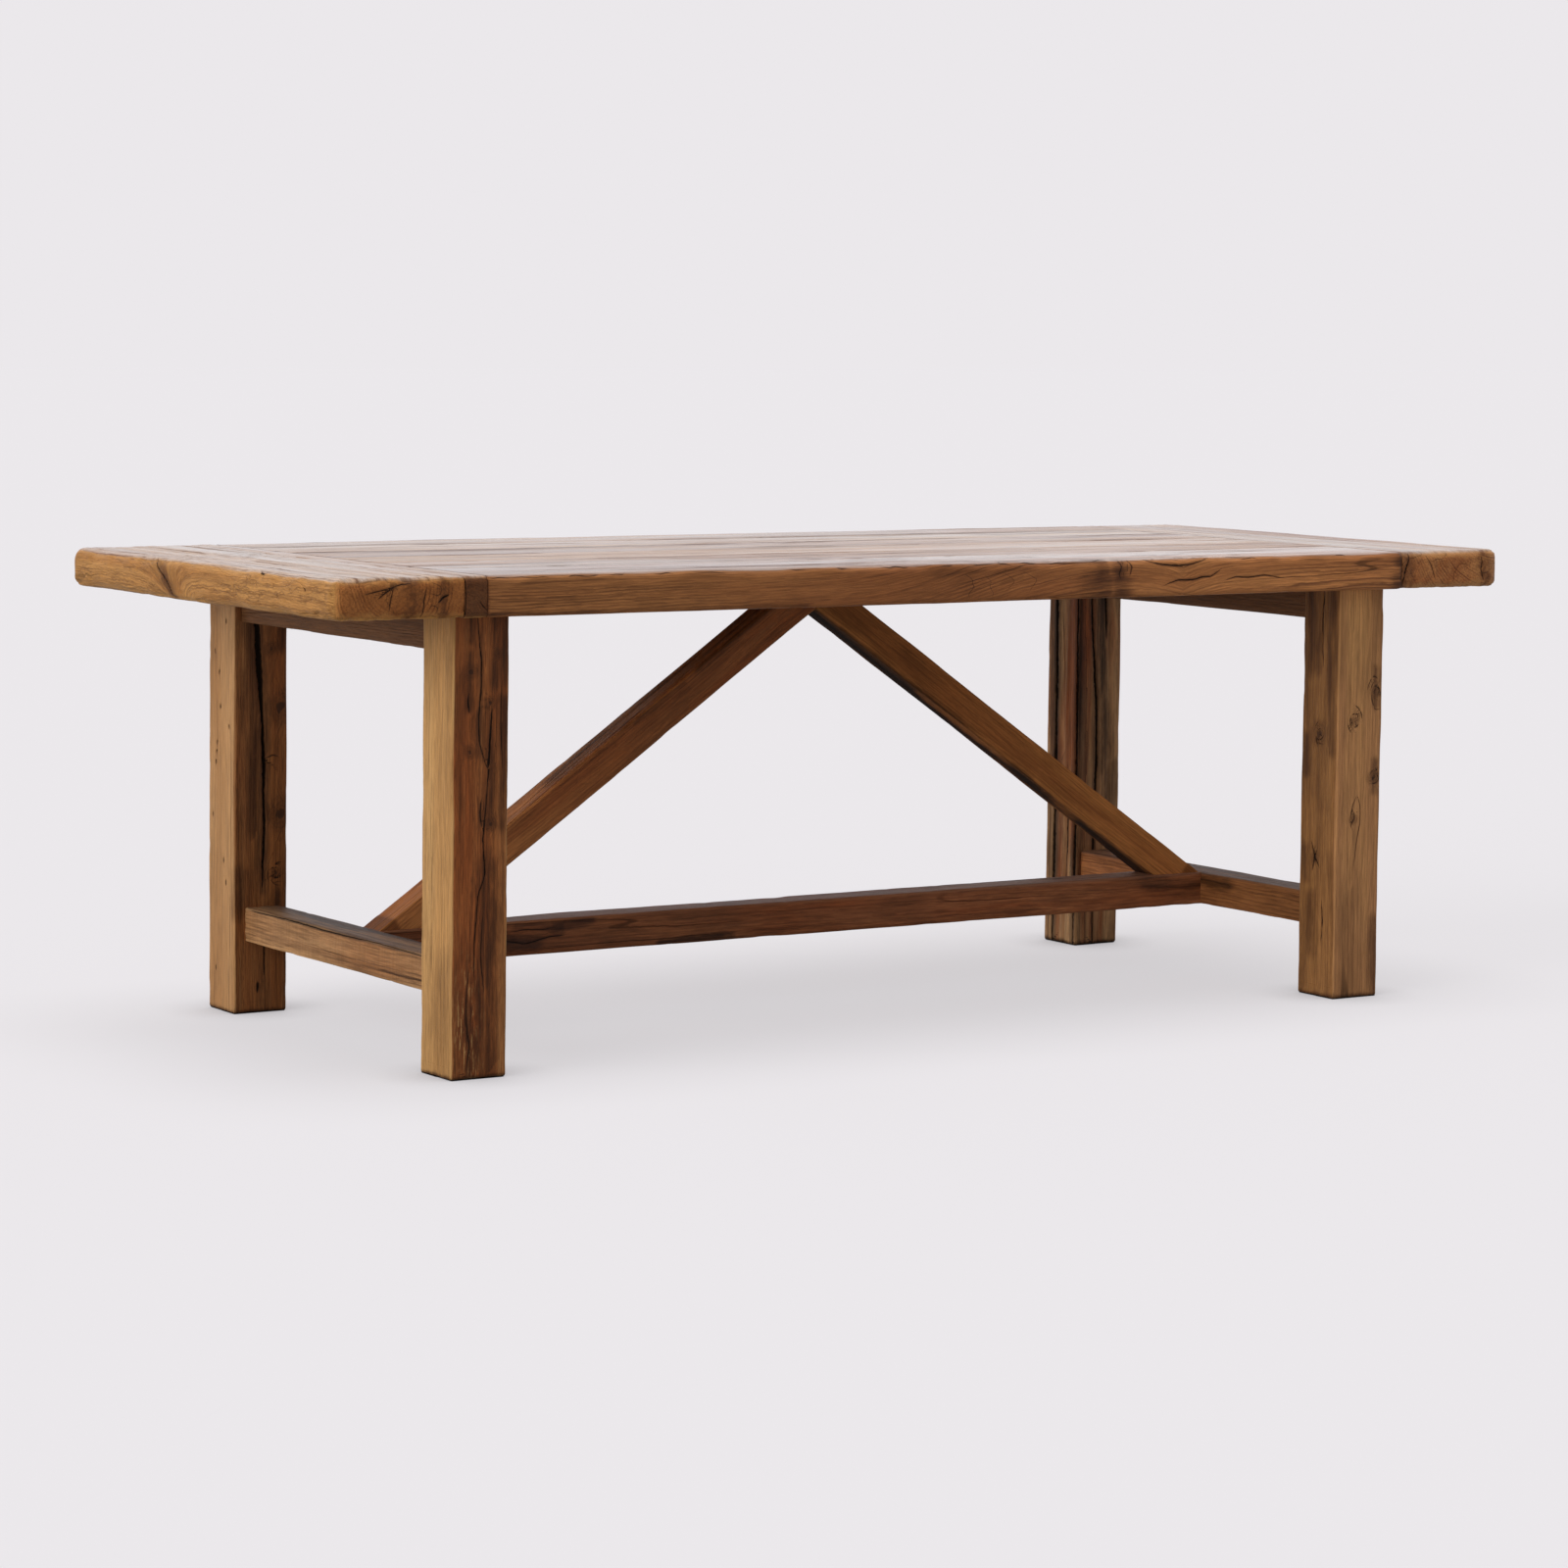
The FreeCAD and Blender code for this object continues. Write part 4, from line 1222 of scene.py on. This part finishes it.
(_, stretcher_front, _), (_, stretcher_back, _) = box_mm("long_stretcher")
rail_front = Face("front", stretcher_front)
make_timber(
    "long_stretcher", "rails",
    wood("long_stretcher_wood", seed=67.9, pith=(0, 0.04, -0.06), pale=tone(172, 110, 70),
         body=tone(140, 85, 54), dark=tone(48, 29, 22), grey=tone(132, 112, 98), bleach=0.5, rings=0.4,
         stains=0.4, soot=0.4, rust=0.55, streaks=0.5, start_tone=0.8, end_tone=1.42),
    rail_front.cracks(
        (2.0, 2.0, ((-596, 144), (-570, 141), (-554, 137), (-532, 141), (-509, 146), (-480, 147))),
        (1.4, 1.5, ((-574, 158), (-548, 160), (-522, 158), (-500, 161)))),
    rail_front.knots((-491, 157, 8)),
    rail_front.stains(
        (30, ((-620, 150), (-575, 140), (-530, 138))),
        (18, ((-570, 166), (-500, 164), (-430, 168))),
        (34, ((690, 160), (760, 150), (815, 150))),
        (16, ((-300, 124), (-160, 126)))),
    turn=ALONG_X, place=(0.0, 0.0, (RAIL_LOW + RAIL_HIGH / 2) * MM), seed=4.7, wave=0.0008, relief=0.0006,
    chip=0.0016, edge_radius=0.004, edge_wear=0.001, upper_face=1.0,
    **box_values(2 * (RAIL_INSIDE + TUCK), stretcher_back - stretcher_front, RAIL_HIGH, LONG_PITCH))


# The braces

BRACE_DEEP = 57.0
BRACE_WIDE = 2 * box_mm("brace_left")[1][1]
# the upper edge meets the top this far from the middle of the table
HEAD_SEAT = 46.0
# the ends run on this far into the stretcher and the top, out of sight
BRACE_TUCK = 8.0
FOOT_LEVEL, HEAD_LEVEL = RAIL_TOP - BRACE_TUCK, UNDER + BRACE_TUCK
BRACE_ANGLE = math.atan2(UNDER - RAIL_TOP, RAIL_INSIDE - HEAD_SEAT)
LIFT, LEAN = math.sin(BRACE_ANGLE), math.cos(BRACE_ANGLE)
# half way between the two ends of the upper edge
EDGE_X, EDGE_Z = (RAIL_INSIDE + HEAD_SEAT) / 2, (RAIL_TOP + UNDER) / 2


def brace_edge(side, lower, start, end):
    """A line along the upper or lower edge of a brace, from start to end in mm past its middle."""
    deep = BRACE_DEEP if lower else 0.0
    across, height = EDGE_X - deep * LIFT, EDGE_Z - deep * LEAN
    return tuple((side * (across - t * LEAN), height + t * LIFT) for t in (start, (start + end) / 2, end))


def brace(node, side, material, stains, **values):
    """A slanting timber with a level cut at the foot and an upright and a level cut at the head."""
    # a point on the middle line, and how far along that line the three cuts are from it
    mid_x, mid_z = -EDGE_X + BRACE_DEEP / 2 * LIFT, EDGE_Z - BRACE_DEEP / 2 * LEAN
    to_foot = (mid_z - FOOT_LEVEL) / LIFT
    to_upright = -mid_x / LEAN
    to_top = (HEAD_LEVEL - mid_z) / LIFT
    # the box runs from the foot cut to the upright cut on the middle line
    shift = (to_upright - to_foot) / 2
    centre_x, centre_z = mid_x + shift * LEAN, mid_z + shift * LIFT
    shape = dict(turn=(0.0, -BRACE_ANGLE, 0.0 if side < 0 else math.pi),
                 place=(-side * centre_x * MM, 0.0, centre_z * MM),
                 start_skew=-LEAN / LIFT, end_skew=LIFT / LEAN,
                 second_cut=(to_top - shift) * MM, second_skew=-LEAN / LIFT,
                 edge_radius=0.004, wave=0.0007, relief=0.0006, chip=0.0012, edge_wear=0.0008)
    size = box_values(to_foot + to_upright, BRACE_WIDE, BRACE_DEEP)
    return make_timber(node, "braces", material, stains=stains, **{**shape, **size, **values})


brace_middle, brace_front = Face("front", 0.0), Face("front", -BRACE_WIDE / 2)
brace(
    "brace_left", -1,
    wood("brace_left_wood", seed=73.0, pale=tone(186, 122, 70), body=tone(154, 95, 53), dark=UMBER,
         pith=(0, 0.05, -0.08), rings=0.45, soot=0.35, rust=0.4, streaks=0.45, start_tone=1.2, end_tone=0.9),
    brace_middle.stains((64, brace_edge(-1, False, -60, 480)))
    + brace_front.stains((22, brace_edge(-1, False, 240, 480))),
    seed=6.6)
brace(
    "brace_right", 1,
    # its dark heart is the underside: painted shade beneath the brace
    wood("brace_right_wood", seed=76.0, pale=tone(196, 130, 72), body=tone(166, 104, 57),
         heartwood=tone(40, 27, 22), dark=tone(62, 37, 23), pith=(0, 0.0, -1.0), heart=0.9735,
         heart_edge=0.9985, heart_wave=0.004, rings=0.8, streaks=0.9, pores=0.9, roughness=0.85,
         start_tone=1.35, end_tone=0.62),
    # a painted shade band along the lower edge
    brace_front.stains((12, brace_edge(1, True, -60, 420))),
    seed=8.1)


# Floor, light and camera

BACKDROP = tone(235, 232, 235)
# strengths of the light from all round, from the side and from above, on a surface that faces it
AMBIENT, SIDE, ABOVE = 0.3, 0.66, 0.53
SIDE_FROM = Vector((-0.94, -0.12, 0.28)).normalized()
ABOVE_FROM = Vector((0.05, 0.0, 1.0)).normalized()
SIDE_SPREAD, ABOVE_SPREAD = 52, 40
FLOOR_LIGHT = AMBIENT + SIDE * SIDE_FROM.z + ABOVE * ABOVE_FROM.z
FLOOR_REACH = 60.0
# the floor's colour is part its own glow and part light that it catches, so that shadows stay soft
GLOW, CATCH = 0.715, 0.285
# near the table the glow dims to a painted contact shadow, down to this share
CONTACT_REACH, CONTACT_GLOW = 0.1, 0.45
FLOOR_BOUNCE = (0.4, 0.39, 0.385, 1.0)


def mixed(w, share, first, second):
    """Two shaders mixed by a share."""
    made = w.node("ShaderNodeMixShader")
    for socket, value in zip(made.inputs, (share, first, second)):
        w.put(socket, value)
    return made.outputs[0]


def floor_paint():
    """Pale paint that the camera sees as the backdrop, with shadows; to other rays it is plain grey."""
    paint = bpy.data.materials.new("pale_floor")
    paint.use_nodes = True
    paint.node_tree.nodes.clear()
    w = Wiring(paint.node_tree)
    lit = w.node("ShaderNodeEmission")
    lit.inputs["Color"].default_value = BACKDROP
    # a painted contact shadow: the glow dims where the table is close by
    near = w.node("ShaderNodeAmbientOcclusion", samples=4)
    near.inputs["Distance"].default_value = CONTACT_REACH
    w.put(lit.inputs["Strength"], w.between(near.outputs["AO"], CONTACT_GLOW * GLOW, GLOW))
    shadowed = w.node("ShaderNodeBsdfDiffuse")
    shadowed.inputs["Color"].default_value = tuple(v * CATCH / FLOOR_LIGHT for v in BACKDROP[:3]) + (1.0,)
    seen = w.node("ShaderNodeAddShader")
    w.put(seen.inputs[0], lit.outputs[0])
    w.put(seen.inputs[1], shadowed.outputs[0])
    unseen = w.node("ShaderNodeBsdfDiffuse")
    unseen.inputs["Color"].default_value = FLOOR_BOUNCE
    by_camera = w.node("ShaderNodeLightPath").outputs["Is Camera Ray"]
    surface = mixed(w, by_camera, unseen.outputs[0], seen.outputs[0])
    w.put(w.node("ShaderNodeOutputMaterial").inputs["Surface"], surface)
    return paint


def lay_floor():
    mesh = bpy.data.meshes.new("floor")
    corners = [(x * FLOOR_REACH, y * FLOOR_REACH, 0.0) for x, y in ((-1, -1), (1, -1), (1, 1), (-1, 1))]
    mesh.from_pydata(corners, [], [(0, 1, 2, 3)])
    mesh.materials.append(floor_paint())
    floor = bpy.data.objects.new("floor", mesh)
    bpy.context.scene.collection.objects.link(floor)


def light_studio():
    """A pale backdrop all round, a window to the left and a soft light above."""
    world = bpy.data.worlds.new("studio")
    bpy.context.scene.world = world
    world.use_nodes = True
    world.node_tree.nodes.clear()
    w = Wiring(world.node_tree)
    soft = w.node("ShaderNodeBackground")
    soft.inputs["Color"].default_value = (1.0, 1.0, 1.0, 1.0)
    soft.inputs["Strength"].default_value = AMBIENT
    plain = w.node("ShaderNodeBackground")
    plain.inputs["Color"].default_value = BACKDROP
    path = w.node("ShaderNodeLightPath").outputs
    seen = w.math("MAXIMUM", path["Is Camera Ray"], path["Is Glossy Ray"])
    surface = mixed(w, seen, soft.outputs[0], plain.outputs[0])
    w.put(w.node("ShaderNodeOutputWorld").inputs["Surface"], surface)

    lamps = (("window_side", SIDE, SIDE_FROM, SIDE_SPREAD), ("soft_above", ABOVE, ABOVE_FROM, ABOVE_SPREAD))
    for name, strength, source, spread in lamps:
        lamp = bpy.data.lights.new(name, "SUN")
        lamp.energy = strength * math.pi
        lamp.angle = math.radians(spread)
        hung = bpy.data.objects.new(name, lamp)
        hung.visible_glossy = False
        hung.rotation_euler = source.to_track_quat("Z", "Y").to_euler()
        bpy.context.scene.collection.objects.link(hung)


# the camera's place in m and its turns in radians, fitted to the edges of the table in the photograph
CAMERA_AT = (-4.159833, -6.395267, 1.168719)
PAN, TILT, ROLL = -0.57172, -0.07081, -0.01144
FOCAL_LENGTH, SENSOR_WIDTH, SHIFT_UP = 105.435, 36.0, -0.1
SIGHT = 200.0


def set_camera():
    lens = bpy.data.cameras.new("camera")
    lens.sensor_width = SENSOR_WIDTH
    lens.lens = FOCAL_LENGTH
    lens.shift_y = SHIFT_UP
    lens.clip_end = SIGHT
    eye = bpy.data.objects.new("camera", lens)
    facing = Matrix.Rotation(PAN, 3, "Z") @ Matrix.Rotation(TILT, 3, "X") @ Matrix.Rotation(ROLL, 3, "Y")
    right, ahead, up = facing.col
    turned = Matrix((right, up, -ahead)).transposed().to_4x4()
    eye.matrix_world = Matrix.Translation(CAMERA_AT) @ turned
    bpy.context.scene.collection.objects.link(eye)
    bpy.context.scene.camera = eye


lay_floor()
light_studio()
set_camera()
bpy.context.scene.view_settings.view_transform = "Standard"
